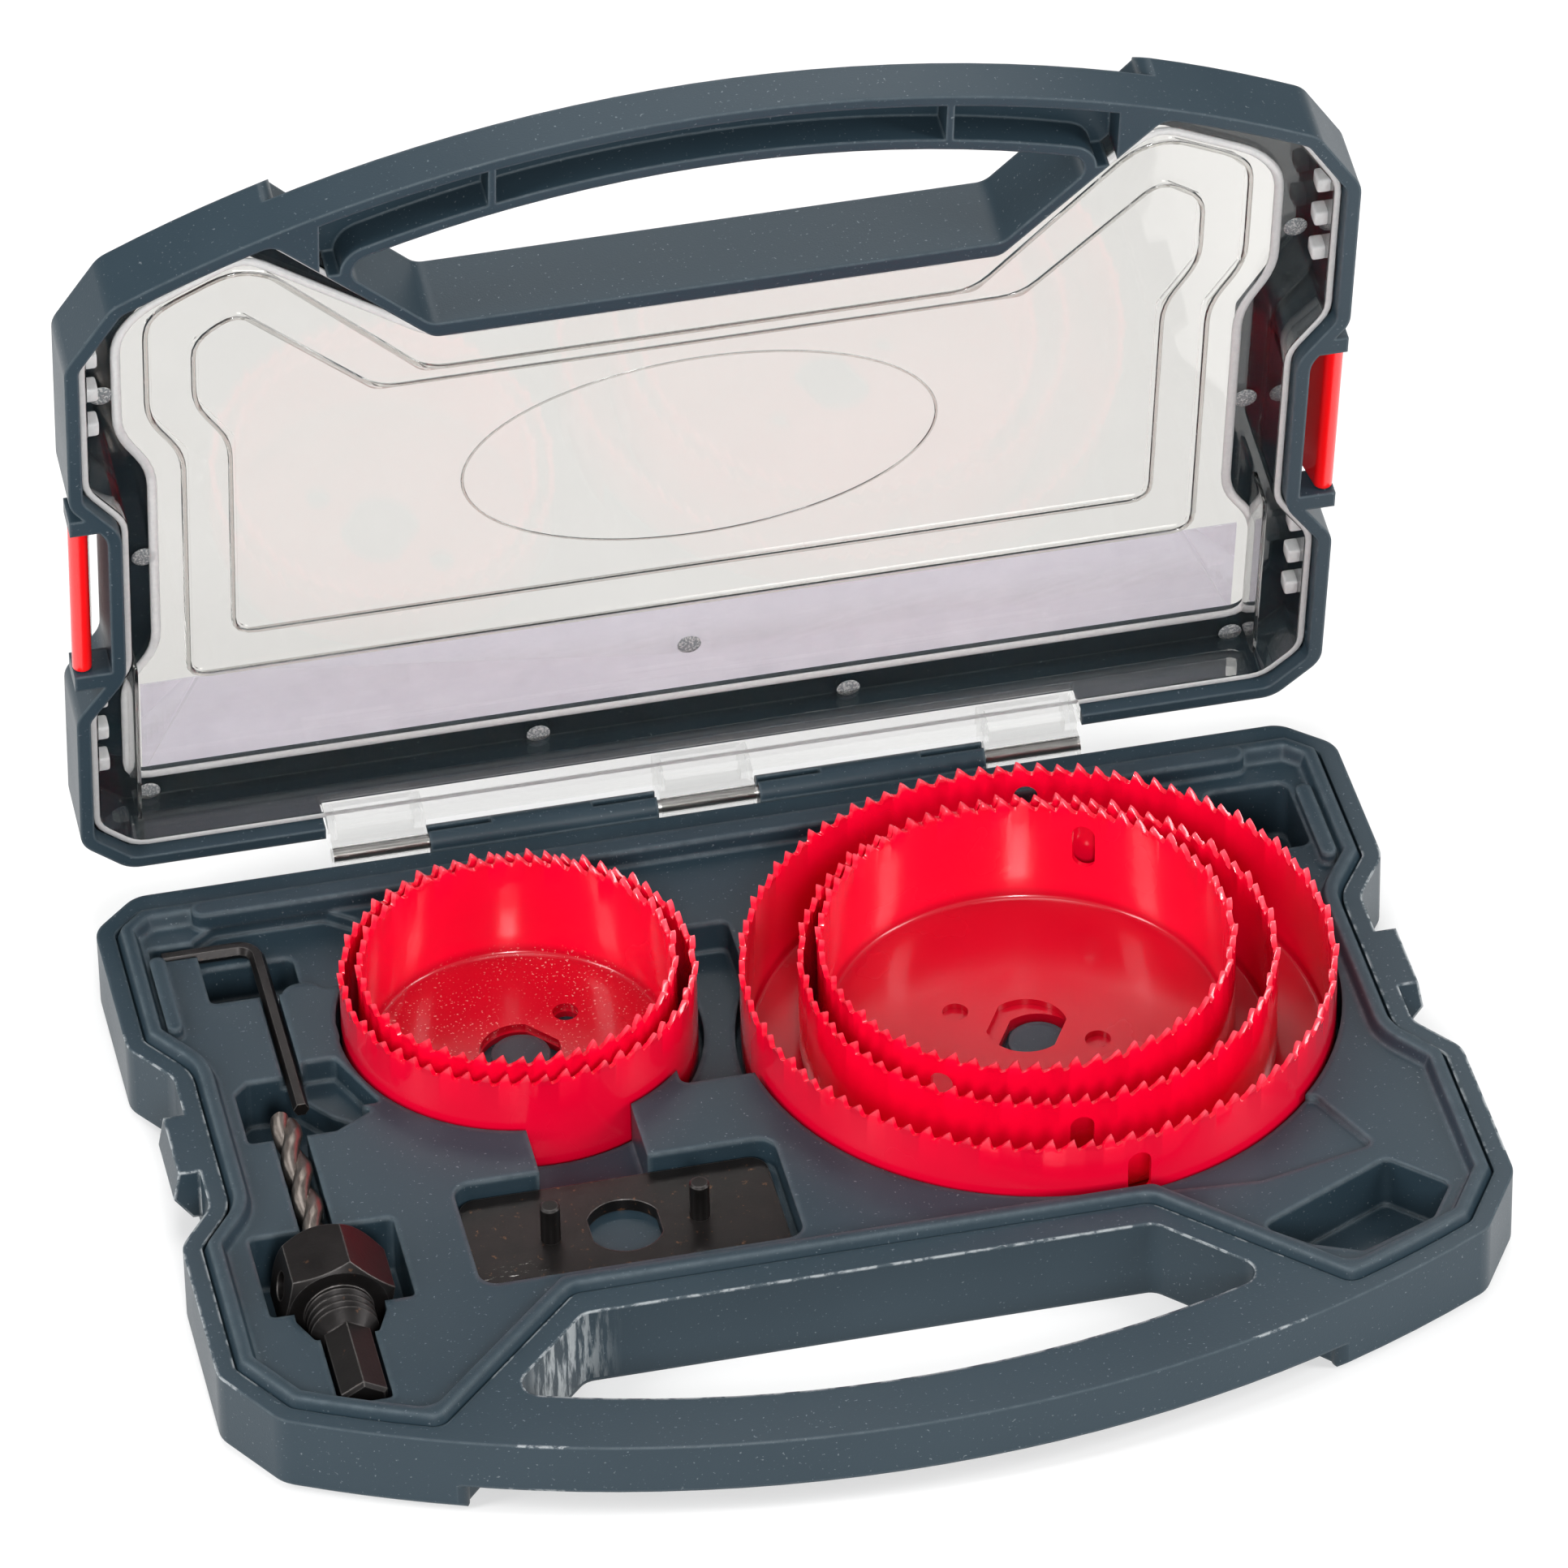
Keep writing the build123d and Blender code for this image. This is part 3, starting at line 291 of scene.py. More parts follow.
pan_wear = [
    ((-0.084, -0.095, 0.001), (-0.050, -0.050, 0.0205)),
    ((-0.050, -0.095, 0.012), (0.084, -0.050, 0.0205)),
    ((-0.140, 0.004, 0.004), (-0.128, 0.030, 0.020)),
    ((-0.140, -0.062, 0.010), (-0.124, 0.055, 0.020)),
    ((0.128, 0.004, 0.004), (0.140, 0.030, 0.020)),
    ((0.124, -0.050, 0.010), (0.140, 0.055, 0.020)),
]
dress("base_pan", slate_plastic("pan_plastic", 0.0010, pan_wear))
dress("tray", slate_plastic("tray_plastic", 0.0020))
dress("lid_frame", slate_plastic("lid_plastic", 0.0009))

# ---- Clear shell and label ------------------------------------------------------------------
# The inner lining of the lid is one clear moulding with a warm tint: its pane shows through the
# opening of the frame, its back edge carries the hinge knuckles, and its rim lies against the
# tray when the case is shut. A bare lilac film is stuck to the outside of the pane.
mm = 0.001
hinge_y = 0.1047
hinge_z = 0.0183
lid_angle = np.radians(80.0)

shell = Finish(
    "clear_shell", IOR=1.14, Transmission_Weight=1.0, Coat_IOR=1.5, Coat_Roughness=0.03
)
# the tint is deeper in the pane, which lies 16 mm above the hinge when the lid is shut
y, z = shell.xyz()[1:]
rise = (y - hinge_y) * float(np.sin(lid_angle)) + (z - hinge_z) * float(np.cos(lid_angle))
in_pane = rise.smooth(0.0155, 0.0163)
dust = shell.noise(900.0, 3.0, 0.6).smooth(0.55, 0.8)
wall_tint = shell.mix(dust * 0.4, (0.86, 0.86, 0.85), (0.94, 0.94, 0.93))
pane_tint = shell.mix(shell.noise(14.0), (0.715, 0.705, 0.68), (0.745, 0.733, 0.71))
shell.set("Base Color", shell.mix(in_pane, wall_tint, pane_tint))
shell.set("Roughness", dust * 0.06 + 0.015)
shell.set("Coat Weight", 1.0 - dust * 0.3)
shell.bump(shell.noise(18.0), 0.0003, 0.5)
clear = shell.material
dress("lid_window", clear)

# the film has a faint glow of its own tone: painted light that brightens it
film = Finish("label_film", Roughness=0.35, Specular_IOR_Level=0.4, Emission_Strength=0.34)
film_mark = film.noise(90.0, 4.0, 0.65)
film_tone_and_glow = film.mix(film_mark, (0.80, 0.77, 0.88), (0.88, 0.86, 0.94))
film.set("Base Color", film_tone_and_glow)
film.set("Emission Color", film_tone_and_glow)
film.set("Alpha", film_mark * 0.12 + 0.56)
dress("label_strip", film.material)


def on_open_lid(points):
    """Points of the shut lid in metres, turned back about the hinge axis by the lid's angle."""
    x, y, z = np.asarray(points, float).reshape(-1, 3).T
    y, z = y - hinge_y, z - hinge_z
    c, s = np.cos(lid_angle), np.sin(lid_angle)
    return np.stack([x, hinge_y + y * c + z * s, hinge_z - y * s + z * c], 1)


def grid_faces(rings, sides, rings_closed=True, sides_closed=True):
    """Four-sided faces of a grid whose points are counted along each ring, ring after ring.

    A closed direction joins its last points to its first.
    """
    last_ring = rings if rings_closed else rings - 1
    last_side = sides if sides_closed else sides - 1
    i, j = np.meshgrid(np.arange(last_ring), np.arange(last_side), indexing="ij")
    next_i, next_j = (i + 1) % rings, (j + 1) % sides
    corners = [i * sides + j, next_i * sides + j, next_i * sides + next_j, i * sides + next_j]
    return np.stack(corners, 2).reshape(-1, 4)


def facing_out(piece):
    """Turns the faces of a closed piece outwards."""
    work = bmesh.new()
    work.from_mesh(piece.data)
    bmesh.ops.recalc_face_normals(work, faces=work.faces)
    work.to_mesh(piece.data)
    work.free()


def lid_piece(name, parts, material):
    """A piece of the clear shell, from closed (points, faces) parts drawn on the shut lid."""
    counts = np.cumsum([0] + [len(part[0]) for part in parts])
    points = np.concatenate([part[0] for part in parts])
    faces = np.concatenate([part[1] + count for part, count in zip(parts, counts)])
    piece = new_piece(name, on_open_lid(points), faces.tolist(), "lid", material)
    facing_out(piece)


def rounded_path(corners, radius, steps=5):
    """A closed path through the corners, each rounded by a quadratic curve of about the radius."""
    corners = np.asarray(corners, float)
    before = np.roll(corners, 1, 0) - corners
    after = np.roll(corners, -1, 0) - corners
    reach_in = np.minimum(radius, 0.45 * np.linalg.norm(before, axis=1))[:, None]
    reach_out = np.minimum(radius, 0.45 * np.linalg.norm(after, axis=1))[:, None]
    start = corners + before / np.linalg.norm(before, axis=1)[:, None] * reach_in
    end = corners + after / np.linalg.norm(after, axis=1)[:, None] * reach_out
    t = np.linspace(0.0, 1.0, steps)[None, :, None]
    curve = (1 - t) ** 2 * start[:, None] + 2 * t * (1 - t) * corners[:, None] + t**2 * end[:, None]
    return curve.reshape(-1, 2)


def carried(profile, path, height):
    """A closed profile of (across, up) points carried along a closed plan path.

    Each profile point is moved across by the path's normal, and up from the height, and the
    rings are joined into one closed tube.
    """
    path = np.asarray(path)
    along = np.roll(path, -1, 0) - np.roll(path, 1, 0)
    along = along / np.linalg.norm(along, axis=1)[:, None]
    normal = np.stack([along[:, 1], -along[:, 0]], 1)
    profile = np.asarray(profile, float)
    plan = path[:, None, :] + normal[:, None, :] * profile[None, :, 0, None]
    up = np.broadcast_to(height + profile[None, :, 1], plan.shape[:2])
    points = np.concatenate([plan, up[:, :, None]], 2).reshape(-1, 3)
    return points, grid_faces(len(path), len(profile))


def mirrored(right):
    """The right half from back to front, then the left half from front to back."""
    right = np.asarray(right, float) * mm
    return np.concatenate([right, right[::-1] * (-1.0, 1.0)])


def bead(width, height, steps=7):
    """A half-round bead that hangs below zero, with a flat top."""
    turn = np.linspace(0.0, np.pi, steps)
    return np.stack([np.cos(turn) * width / 2, -np.sin(turn) * height], 1)


# the rim of the shell is thick and frosted and shows as a pale band; the step round the pane
# wears the same pale frost as a painted highlight along the window's edge
frost_and_highlight = Finish("frosted_rim_and_step_highlight", Roughness=0.28, IOR=1.2, Transmission_Weight=0.5, Coat_Weight=0.6)
frost = frost_and_highlight.noise(900.0, 3.0)
frost_and_highlight.set("Base Color", frost_and_highlight.mix(frost, (0.74, 0.75, 0.76), (0.96, 0.96, 0.95)))
pane_inside = 35.0 * mm
bead_seat = 0.02 * mm
bead_z = pane_inside - bead_seat
window_edge = [(124.4, 88.3), (124.4, 58), (117.4, 48), (117.4, -7.6), (124.4, -19.7)]
window_edge += [(124.4, -48), (119, -55.5), (97, -67), (57, -36)]
outer_line = [(110.6, 59), (110.6, -10.7), (118, -22.8), (118, -51), (114, -55.5)]
outer_line += [(100, -62.8), (92, -61), (58.9, -25.8)]
inner_line = [(100.6, 47.4), (100.6, -12.7), (108, -24.8), (108, -44), (98.5, -50.9)]
inner_line += [(69.2, -22.3)]
for title, line, width, height, material in (
    # the step's pale band is a painted highlight along the window's edge
    ("pane_step", window_edge, 2.2 * mm, 0.5 * mm, frost_and_highlight.material),
    ("pane_line_outer", outer_line, 1.3 * mm, 0.45 * mm, clear),
    ("pane_line_inner", inner_line, 1.1 * mm, 0.4 * mm, clear),
):
    path = rounded_path(mirrored(line), 5.0 * mm)
    lid_piece(title, [carried(bead(width, height), path, bead_z)], material)

# the middle of the pane has one bare oval line, a hair wide
oval_middle = (0.5, 10.0)
oval_half_sizes = (51.5, 27.2)
turn = np.linspace(0.0, 2 * np.pi, 96, endpoint=False)
oval = oval_middle + np.stack([np.cos(turn), np.sin(turn)], 1) * oval_half_sizes
lid_piece("pane_oval", [carried(bead(0.7 * mm, 0.16 * mm), oval * mm, bead_z)], clear)

# the rim of the shell lies against the tray when the case is shut, and its front follows an arc
rim_z = 22.6 * mm
arc_x = np.linspace(127.0, 94.4, 7)[1:]
arc_middle_y = 166.5
arc_radius = 267.4
front_arc = [(x, arc_middle_y - np.sqrt(arc_radius**2 - x**2)) for x in arc_x]
rim_line = [(125.2, 96.0), (133.4, 88.4), (133.4, 51.9), (125.4, 39.7), (125.4, -5.8)]
rim_line += [(133.4, -16.8), (133.4, -55.8), (125.0, -69.6)] + front_arc + [(60.7, -50.6)]
flat_band = np.array([(-0.75, 0.0), (-0.5, -0.22), (0.5, -0.22), (0.75, 0.0)]) * mm
path = rounded_path(mirrored(rim_line), 3.0 * mm, 4)
lid_piece("shell_rim", [carried(flat_band, path, rim_z)], frost_and_highlight.material)

# ---- Marks, clips and fins of the shell -----------------------------------------------------
# Ejector pins leave round speckled marks on the shell, and one gate scar stands on the pane.
# Small square clips hold the shell in the frame, and a clear fin stands near each end.


def dome(centre, radius, height, rings=5, sides=28):
    """A shallow dome below its centre: it hangs by the cosine of the way out to its edge."""
    share = np.linspace(0.04, 1.0, rings)
    r, turn = np.meshgrid(share, np.linspace(0, 2 * np.pi, sides, endpoint=False))
    drop = height * np.cos(r * np.pi / 2)
    low = np.stack([r * np.cos(turn) * radius, r * np.sin(turn) * radius, -drop], 2)
    top = low.copy()
    top[:, :, 2] = 0.02 * mm
    grid = np.concatenate([low, top[:, ::-1]], 1) + np.asarray(centre)
    return grid.reshape(-1, 3), grid_faces(sides, 2 * rings, sides_closed=False)


speckle = Finish("speckled_clear", Roughness=0.4, IOR=1.45, Transmission_Weight=0.55)
spots = speckle.noise(2200.0).smooth(0.45, 0.62)
speckle.set("Base Color", speckle.mix(spots, (0.30, 0.33, 0.35), (0.88, 0.88, 0.87)))
speckle.bump(spots, 0.0002, 0.6)
marks = [(35.1, 94.4), (-34.0, 94.1), (-120.0, 93.9), (121.0, 94.8), (120.4, 19.9)]
marks += [(-119.6, 19.3), (128.6, -31.0), (-127.6, -31.7), (-0.8, 72.4)]
mark_z = pane_inside - 0.05 * mm
mark_domes = [dome((x * mm, y * mm, mark_z), 2.6 * mm, 0.35 * mm) for x, y in marks]
lid_piece("shell_marks", mark_domes, speckle.material)


def soft_block(centre, size, power, sides=20, rings=11):
    """A block with rounded edges, centre and size in millimetres.

    It is a superellipsoid: the sine and the cosine of a ball's two angles are bent towards 1 by
    the power, and the higher it is the squarer the block.
    """
    tilt = np.linspace(-np.pi / 2, np.pi / 2, rings)
    a, b = np.meshgrid(tilt, np.linspace(0, 2 * np.pi, sides, endpoint=False))

    def bend(v):
        return np.sign(v) * np.abs(v) ** (2.0 / power)

    flat = bend(np.cos(a))
    shape = np.stack([flat * bend(np.cos(b)), flat * bend(np.sin(b)), bend(np.sin(a))], 2)
    grid = shape * (np.asarray(size) * mm) / 2 + np.asarray(centre) * mm
    return grid.reshape(-1, 3), grid_faces(sides, rings, sides_closed=False)


clip_x = 131.2
clip_places = (72.0, 62.0, 52.0, -32.3, -42.6, -52.5)
clips = [
    soft_block((side * clip_x, y, 27.0), (3.2, 4.0, 4.2), 6.0)
    for side in (-1, 1)
    for y in clip_places
]
lid_piece("shell_clips", clips, frost_and_highlight.material)

fin_x = 123.6
fins = [
    soft_block((side * fin_x, 67.0, 29.6), (1.0, 49.0, 10.4), 14.0, 44, 17) for side in (-1, 1)
]
lid_piece("shell_fins", fins, clear)

# ---- Latches and hinge pins -----------------------------------------------------------------
# Each red latch is one stiff moulding that turns on its own trunnions between two ears of the
# lid. The hinge pins are drawn steel wire, pressed into the barrels of the base.
latch_red = Finish("latch_plastic", Roughness=0.25, Coat_Weight=0.3)
soft, edge = latch_red.rounded(0.0006)
latch_tone = latch_red.mix(latch_red.noise(60.0), (0.78, 0.003, 0.004), (0.90, 0.006, 0.008))
latch_red.set("Base Color", latch_red.mix(edge * 0.25, latch_tone, (0.95, 0.12, 0.10)))
latch_red.bump(latch_red.noise(900.0), 0.00004, 0.3, soft)
dress("latch_left", latch_red.material)
dress("latch_right", latch_red.material)

pin_steel = Finish("pin_steel", Metallic=1.0)
drawn = pin_steel.streaks((60.0, 4000.0, 4000.0), 3.0)
pin_steel.set("Base Color", pin_steel.mix(drawn, (0.42, 0.41, 0.40), (0.66, 0.65, 0.63)))
pin_steel.set("Roughness", drawn * 0.25 + 0.2)
dress("hinge_pin_middle", pin_steel.material)
dress("hinge_pins_outer", pin_steel.material)

# ---- Hole saws ------------------------------------------------------------------------------
# Each saw is a pressed steel cup with a toothed strip welded in a ring, sprayed glossy red. The
# teeth stand at uneven spacing and lean in turn outwards, inwards and straight, to clear the
# cut. The floor has a flatted drive hole and two pin holes, and the large saws' walls two slots.
saw_height = 28.2 * mm
saw_wall = 1.2 * mm
saw_floor = 1.5 * mm
saw_corner = 2.4 * mm
tooth_depth = 2.6 * mm
tooth_pitch = 4.3 * mm
tooth_lean = 0.42 * mm
tooth_bevel = 0.25 * mm
bevel_drop = 0.12 * mm
steep_part = 0.21
steps_in_tooth = 14
gullet_base = saw_height - tooth_depth - 0.5 * mm
hole_radius = 8.8 * mm
hole_flat = 7.6 * mm
saw_seat = 0.03 * mm
pin_reach = 15.9 * mm
pin_radius = 2.8 * mm
slot_rise = 17.0 * mm
slot_half_wide = 2.6 * mm
slot_half_long = 5.5 * mm


def saw_paint(name, rim_z, floor_z, dust):
    """Glossy red spray, with a painted pink highlight on the teeth's points and painted shade on
    the floor.
    """
    finish = Finish(name, Coat_Roughness=0.1, Specular_IOR_Level=0.3)
    z = finish.xyz()[2]
    peel = finish.noise(260.0)
    patch = finish.noise(45.0, 3.0)
    point = (z + finish.noise(800.0) * 0.0012).smooth(rim_z - 0.0012, rim_z + 0.0006)
    low = 1.0 - z.smooth(floor_z + 0.0002, floor_z + 0.0035)
    colour = finish.mix(patch, (0.82, 0.0006, 0.026), (0.90, 0.0010, 0.033))
    # painted shade: the floor of the cup is painted darker, where shade falls down in the cup
    colour = finish.mix(low * 0.6, colour, (0.28, 0.0004, 0.005))
    if dust:
        grit = finish.noise(1700.0, 1.0).smooth(0.66, 0.72) * low
        grit = grit * finish.noise(35.0).smooth(0.35, 0.6)
        colour = finish.mix(grit * 0.8, colour, (0.75, 0.42, 0.38))
    # painted highlight: the points of the teeth are painted pink as glints of light
    colour = finish.mix(point * 0.28, colour, (0.90, 0.22, 0.27))
    finish.set("Base Color", colour)
    finish.set("Roughness", patch * 0.12 + 0.20 + point * 0.1)
    finish.set("Coat Weight", 0.85 - low * 0.35)
    finish.bump(peel, 0.00012, 0.25)
    return finish.material


def tooth_ring(radius, rng):
    """Angles round the rim, with the drop and the lean of the rim at each.

    A tooth is a cosine wave pushed to one side: it falls to a round gullet in the steep part
    of its pitch, and climbs back over the rest. The pitches differ at random by up to a tenth.
    """
    count = int(round(2 * np.pi * radius / tooth_pitch))
    width = 1.0 + rng.uniform(-0.1, 0.1, count)
    edge = np.concatenate([[0.0], np.cumsum(width)]) * 2 * np.pi / width.sum()
    share = np.arange(steps_in_tooth) / steps_in_tooth
    climb = 2.0 - (1.0 - share) / (1.0 - steep_part)
    phase = np.where(share < steep_part, share / steep_part, climb)
    gullet_roundness = 0.75
    drop = (0.5 - 0.5 * np.cos(phase * np.pi)) ** gullet_roundness
    angle = (edge[:-1, None] + share[None, :] * np.diff(edge)[:, None]).ravel()
    way = np.tile(np.array([1.0, -1.0, 0.0]), count // 3 + 1)[:count]
    nearer = np.where(share[None, :] > 0.5, np.roll(way, -1)[:, None], way[:, None])
    return angle, np.tile(drop, count) * tooth_depth, nearer.ravel() * tooth_lean


def cup_rows(radius, drop, lean, angle, turn):
    """Rows of (radius, height) from the edge of the drive hole, out and up the wall, and back.

    The outer surface comes first, then the inner one, and the last row meets the first. The
    drive hole is a circle or its flat, whichever is nearer: the flat's distance over the cosine
    of the angle. A tooth bends by its lean times its share of the way up from the gullets.
    """
    flat = np.abs(np.cos(angle - turn))
    hole = np.minimum(hole_radius, hole_flat / np.maximum(flat, 1e-6))
    one = np.ones_like(angle)
    inner = radius - saw_wall
    inner_corner = saw_corner - saw_wall
    inner_low = saw_floor + inner_corner
    rows = [(hole, saw_seat), (pin_reach, saw_seat), (radius - saw_corner, saw_seat)]
    for a in np.radians((30.0, 60.0, 90.0)):
        reach_out = radius - saw_corner + saw_corner * np.sin(a)
        rows.append((reach_out, saw_corner - saw_corner * np.cos(a) + saw_seat))
    for share in (0.35, 0.7, 1.0):
        rows.append((radius, saw_corner + (gullet_base - saw_corner) * share))
    for share in (0.3, 0.65, 0.9, 1.0):
        rise = (saw_height - drop - gullet_base) * share
        bend = lean * np.clip(rise / tooth_depth, 0.0, 1.0)
        rows.append((radius + bend, gullet_base + rise))
    for share in (1.0, 0.9, 0.65, 0.3, 0.0):
        rise = (saw_height - drop - gullet_base) * share
        bend = lean * np.clip(rise / tooth_depth, 0.0, 1.0)
        bevel = tooth_bevel if share == 1.0 else 0.0
        rows.append((inner + bend + bevel, gullet_base + rise - bevel_drop * share))
    for share in (0.7, 0.35, 0.0):
        rows.append((inner, inner_low + (gullet_base - inner_low) * share))
    for a in np.radians((60.0, 30.0, 0.0)):
        reach_in = inner - inner_corner + inner_corner * np.sin(a)
        rows.append((reach_in, inner_low - inner_corner * np.cos(a)))
    rows += [(pin_reach, saw_floor), (hole, saw_floor)]
    return [(reach_to * one, height * one) for reach_to, height in rows]


def rod_faces(rings, sides):
    """The faces of a rod of rings, with a cap at each end."""
    faces = grid_faces(rings, sides, rings_closed=False).tolist()
    count = rings * sides
    return faces + [list(range(sides)), list(range(count - sides, count))]


def slot_cutter(start, end, half_wide, half_long, sides=28):
    """A rod from start to end whose section is a slot: half_long upwards, half_wide across."""
    start, end = np.asarray(start, float), np.asarray(end, float)
    along = (end - start) / np.linalg.norm(end - start)
    up = np.array((0.0, 0.0, 1.0)) if abs(along[2]) < 0.5 else np.array((0.0, 1.0, 0.0))
    across = np.cross(along, up)
    t = np.linspace(0, 2 * np.pi, sides, endpoint=False)
    ring = np.cos(t)[:, None] * across * half_wide + np.sin(t)[:, None] * up * half_wide
    ring = ring + np.sign(np.sin(t))[:, None] * up * (half_long - half_wide)
    rod = bare_mesh("cutter", np.concatenate([start + ring, end + ring]), rod_faces(2, sides))
    facing_out(rod)
    return rod


def cut(piece, cutters):
    """Takes the cutters out of the piece with Boolean modifiers, and applies them."""
    for cutter in cutters:
        tool = piece.modifiers.new("cut", "BOOLEAN")
        tool.operation = "DIFFERENCE"
        tool.solver = "EXACT"
        tool.object = cutter
    bpy.context.view_layer.update()
    graph = bpy.context.evaluated_depsgraph_get()
    shaped = bpy.data.meshes.new_from_object(piece.evaluated_get(graph))
    piece.modifiers.clear()
    piece.data = shaped
    for cutter in cutters:
        bpy.data.objects.remove(cutter)


def sharp_edges(piece, degrees):
    """Keeps the edges that turn by more than the angle sharp, on a piece shaded smooth."""
    piece.data.polygons.foreach_set("use_smooth", [True] * len(piece.data.polygons))
    split = piece.modifiers.new("sharp_edges", "EDGE_SPLIT")
    split.split_angle = np.radians(degrees)


# node, body, outer radius, turn of the drive holes, where the wall slots are, dust on the floor
saws = (
    ("hole_saw_127", "saw_127", 63.5, -30.0, (-84.0, 79.0), False),
    ("hole_saw_102", "saw_102", 51.0, -30.0, (-93.0, 87.0), False),
    ("hole_saw_89", "saw_89", 44.5, -30.0, (-127.0, 60.0), False),
    ("hole_saw_76", "saw_76", 38.0, 41.0, (), False),
    ("hole_saw_68", "saw_68", 34.0, 41.0, (), True),
)
floor_cut = np.array((0.0, 0.0, 4.0 * mm))
wall_cut = 6.0 * mm
for title, body, radius, degrees, slots, dust in saws:
    low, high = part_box(title)
    centre = np.array(((low[0] + high[0]) / 2, (low[1] + high[1]) / 2, low[2]))
    radius = radius * mm
    rng = np.random.default_rng(int(radius * 1e5))
    angle, drop, lean = tooth_ring(radius, rng)
    rows = cup_rows(radius, drop, lean, angle, np.radians(degrees))
    rows = [np.stack([r * np.cos(angle), r * np.sin(angle), h], 1) for r, h in rows]
    grid = np.stack(rows, 1) + centre
    faces = grid_faces(*grid.shape[:2]).tolist()
    paint = saw_paint(title + "_paint", centre[2] + saw_height, centre[2] + saw_floor, dust)
    saw = new_piece(title + "_cup", grid.reshape(-1, 3), faces, body, paint)
    facing_out(saw)
    cutters = []
    a = np.radians(degrees)
    for side in (-1, 1):
        spot = centre + side * pin_reach * np.array((np.cos(a), np.sin(a), 0.0))
        cutters.append(slot_cutter(spot - floor_cut, spot + floor_cut, pin_radius, pin_radius))
    for a in np.radians(slots):
        way = np.array((np.cos(a), np.sin(a), 0.0))
        middle = centre + (0, 0, slot_rise)
        ends = (middle + way * (radius - wall_cut), middle + way * (radius + wall_cut))
        cutters.append(slot_cutter(*ends, slot_half_wide, slot_half_long))
    cut(saw, cutters)
    sharp_edges(saw, 38.0)
    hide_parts(title)

# ---- Arbor, drill, key and backing plate ----------------------------------------------------
# The arbor, the plate and the key are steel with a black oxide skin, rubbed bright on their
# edges, and the paler colour of the edges is also a painted highlight. The pilot drill is ground
# high speed steel with two spiral flutes, held in the arbor by its set screw. The drive pins are
# pressed into the plate.


def black_oxide(name, edge_radius, rust, scratched=None):
    """Black oxide on steel: brown-black, greyer on the edges as wear and painted highlight, with
    rust specks.

    Inside the scratched (low corner, high corner) of the plan the skin is worn through in lines.
    """
    finish = Finish(name, Metallic=0.7)
    soft, edge = finish.rounded(edge_radius)
    cloud = finish.noise(120.0, 4.0, 0.6)
    fine = finish.noise(1400.0, 3.0)
    colour = finish.mix(cloud, (0.009, 0.008, 0.008), (0.027, 0.024, 0.0235))
    # the edges are painted greyer: partly rubbed through, partly painted highlight
    colour = finish.mix(edge * (fine * 0.9 + 0.1), colour, (0.30, 0.28, 0.27))
    speck = finish.noise(520.0, 3.0, 0.6).smooth(0.62 + 0.1 * (1 - rust), 0.76)
    colour = finish.mix(speck * 0.7 * rust, colour, (0.26, 0.12, 0.06))
    if scratched:
        x, y = finish.xyz()[:2]
        low, high = scratched
        inside = x.smooth(low[0], low[0] + 0.004) * (1.0 - x.smooth(high[0] - 0.004, high[0]))
        inside = inside * y.smooth(low[1], low[1] + 0.002)
        inside = inside * (1.0 - y.smooth(high[1] - 0.002, high[1]))
        scratch = finish.streaks((230.0, 1100.0, 1.0), 4.0, 0.7).smooth(0.60, 0.70)
        colour = finish.mix(inside * scratch, colour, (0.85, 0.84, 0.80))
    finish.set("Base Color", colour)
    finish.set("Roughness", cloud * 0.22 + 0.24)
    finish.bump(fine, 0.00004, 0.5, soft)
    return finish.material


plate_scratches = ((-0.0785, -0.0385), (-0.062, -0.0300))
arbor_oxide = black_oxide("arbor_oxide", 0.0005, 0.4)
dress("arbor_body", arbor_oxide)
dress("arbor_screw", arbor_oxide)
dress("drive_pins", arbor_oxide)
dress("backing_plate", black_oxide("plate_oxide", 0.0004, 1.0, plate_scratches))
dress("hex_key", black_oxide("key_oxide", 0.0003, 0.3))

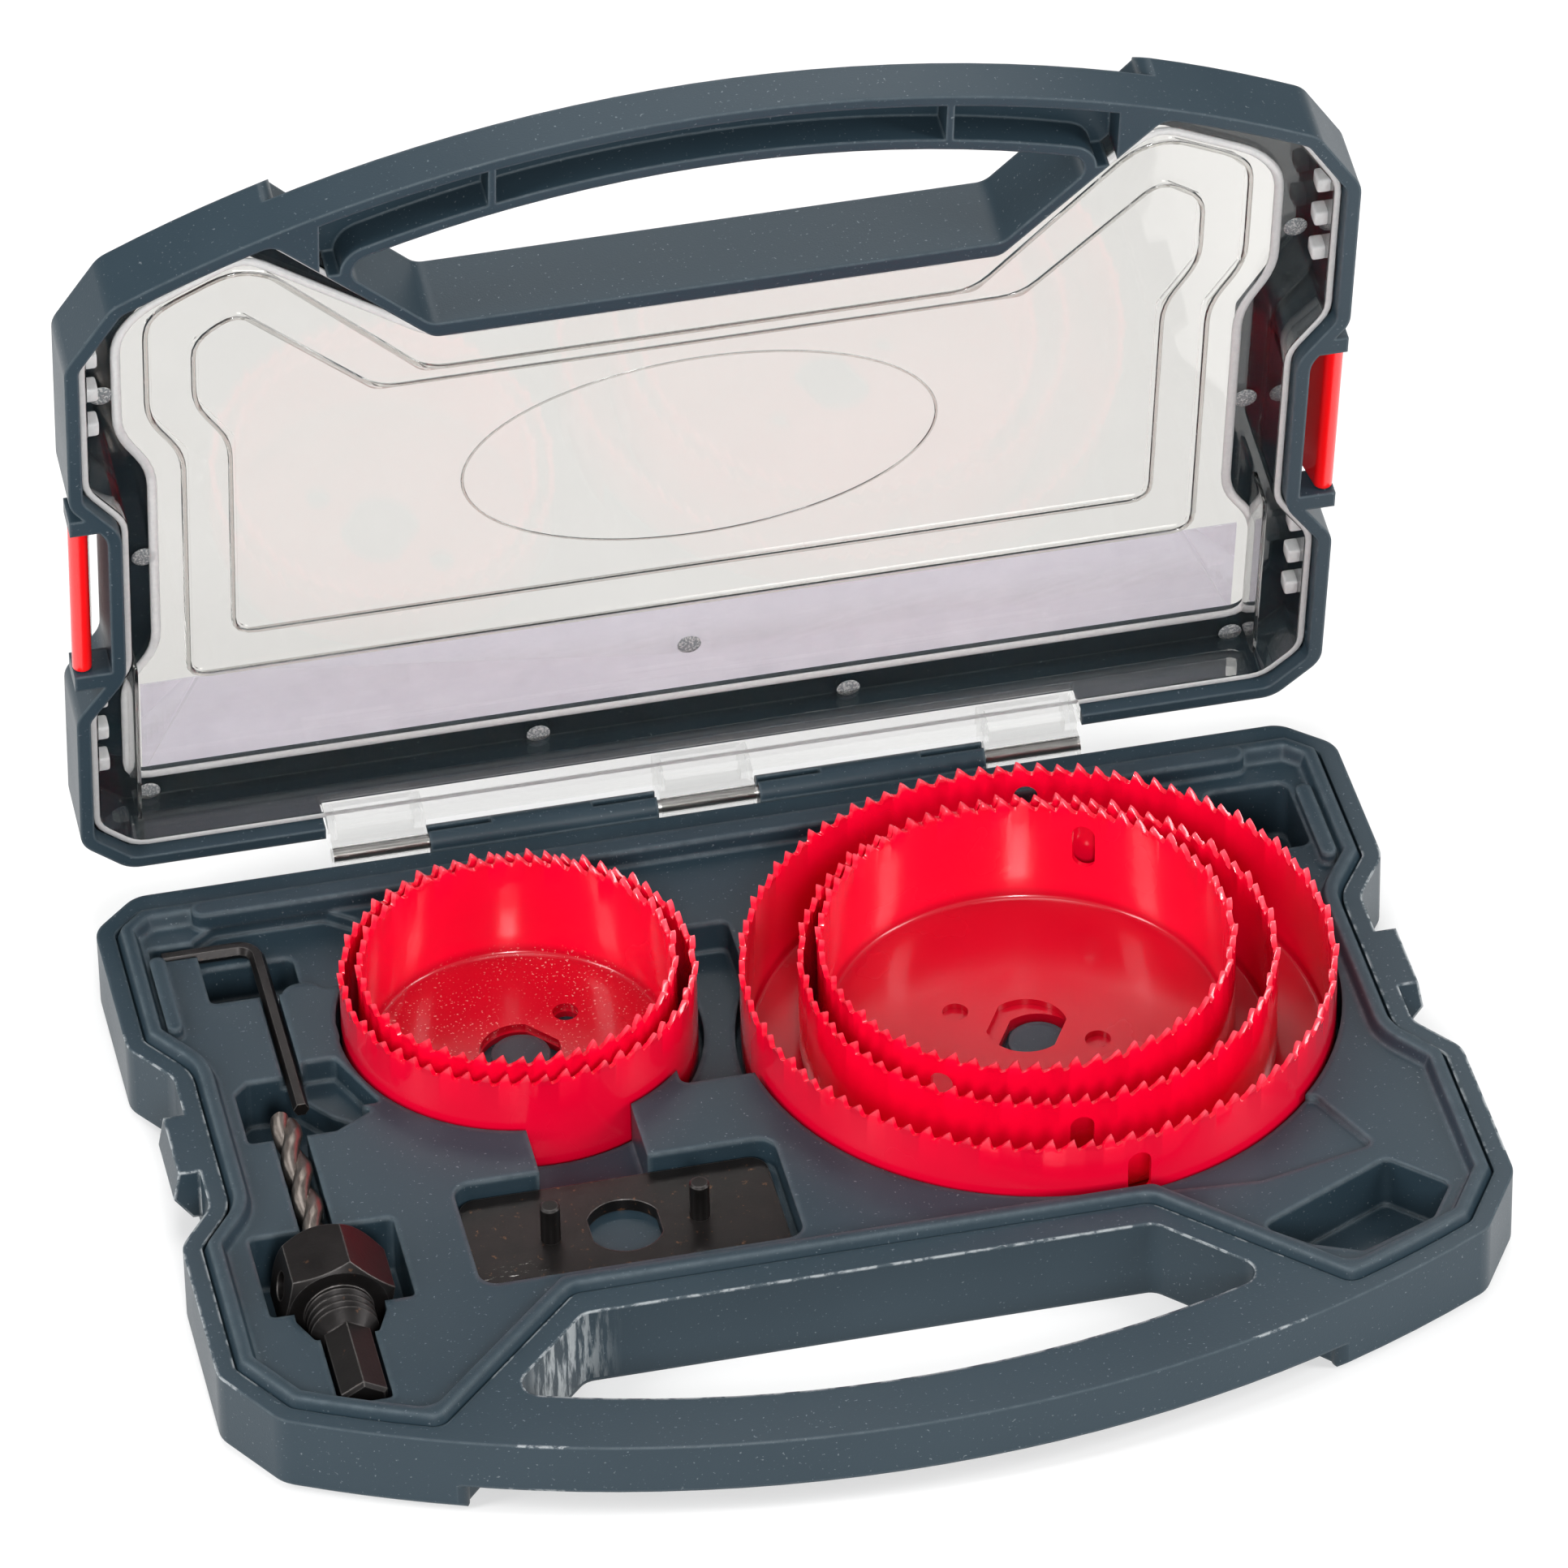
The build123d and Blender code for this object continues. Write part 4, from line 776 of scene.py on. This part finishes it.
drill_low, drill_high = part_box("pilot_drill")
drill_radius = (drill_high[0] - drill_low[0]) / 2
drill_x = (drill_low[0] + drill_high[0]) / 2
drill_z = (drill_low[2] + drill_high[2]) / 2
flute_start = drill_low[1] + 27.0 * mm
flute_run_in = 4.0 * mm
flute_lead = 24.0 * mm
point_long = 1.9 * mm
point_start = drill_high[1] - point_long


def twist_section(phase):
    """The radius of a drill round its axis, as a share of the full one.

    It is full on the two lands, where the sine of the angle is nearly 1. A flute deepens as the
    sine falls to 0, by a power a little under 1, and is shallower on its far side.
    """
    land_sine, roundness, far_side, flute_depth = 0.93, 0.8, 0.82, 0.60
    wave = np.abs(np.sin(phase))
    hollow = np.clip((land_sine - wave) / land_sine, 0.0, 1.0) ** roundness
    side = np.where(np.sin(2 * phase) > 0, 1.0, far_side)
    return 1.0 - flute_depth * hollow * side


shank = [drill_low[1], flute_start - 3.0 * mm]
fluted_part = np.linspace(flute_start, point_start, 110)
point_part = np.linspace(point_start, drill_high[1], 7)[1:]
along = np.concatenate([shank, fluted_part, point_part])
around = np.linspace(0, 2 * np.pi, 64, endpoint=False)
turned = (along - flute_start) / flute_lead * 2 * np.pi
depth = np.clip((along - flute_start) / flute_run_in, 0.0, 1.0)
fluted = 1.0 - depth[:, None] * (1.0 - twist_section(around[None, :] + turned[:, None]))
taper = np.clip((drill_high[1] - along) / point_long, 0.03, 1.0)
radii = drill_radius * fluted * taper[:, None]
y = np.broadcast_to(along[:, None], radii.shape)
grid = np.stack([drill_x + radii * np.cos(around), y, drill_z + radii * np.sin(around)], 2)

ground = Finish("ground_steel", Metallic=0.95)
lines = ground.streaks((3000.0, 300.0, 3000.0), 3.0)
ground.set("Base Color", ground.mix(lines, (0.13, 0.11, 0.10), (0.34, 0.30, 0.27)))
ground.set("Roughness", lines * 0.2 + 0.24)
faces = rod_faces(*radii.shape)
drill = new_piece(
    "twist_drill", grid.reshape(-1, 3), faces, "arbor", ground.material
)
facing_out(drill)
sharp_edges(drill, 40.0)
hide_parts("pilot_drill")
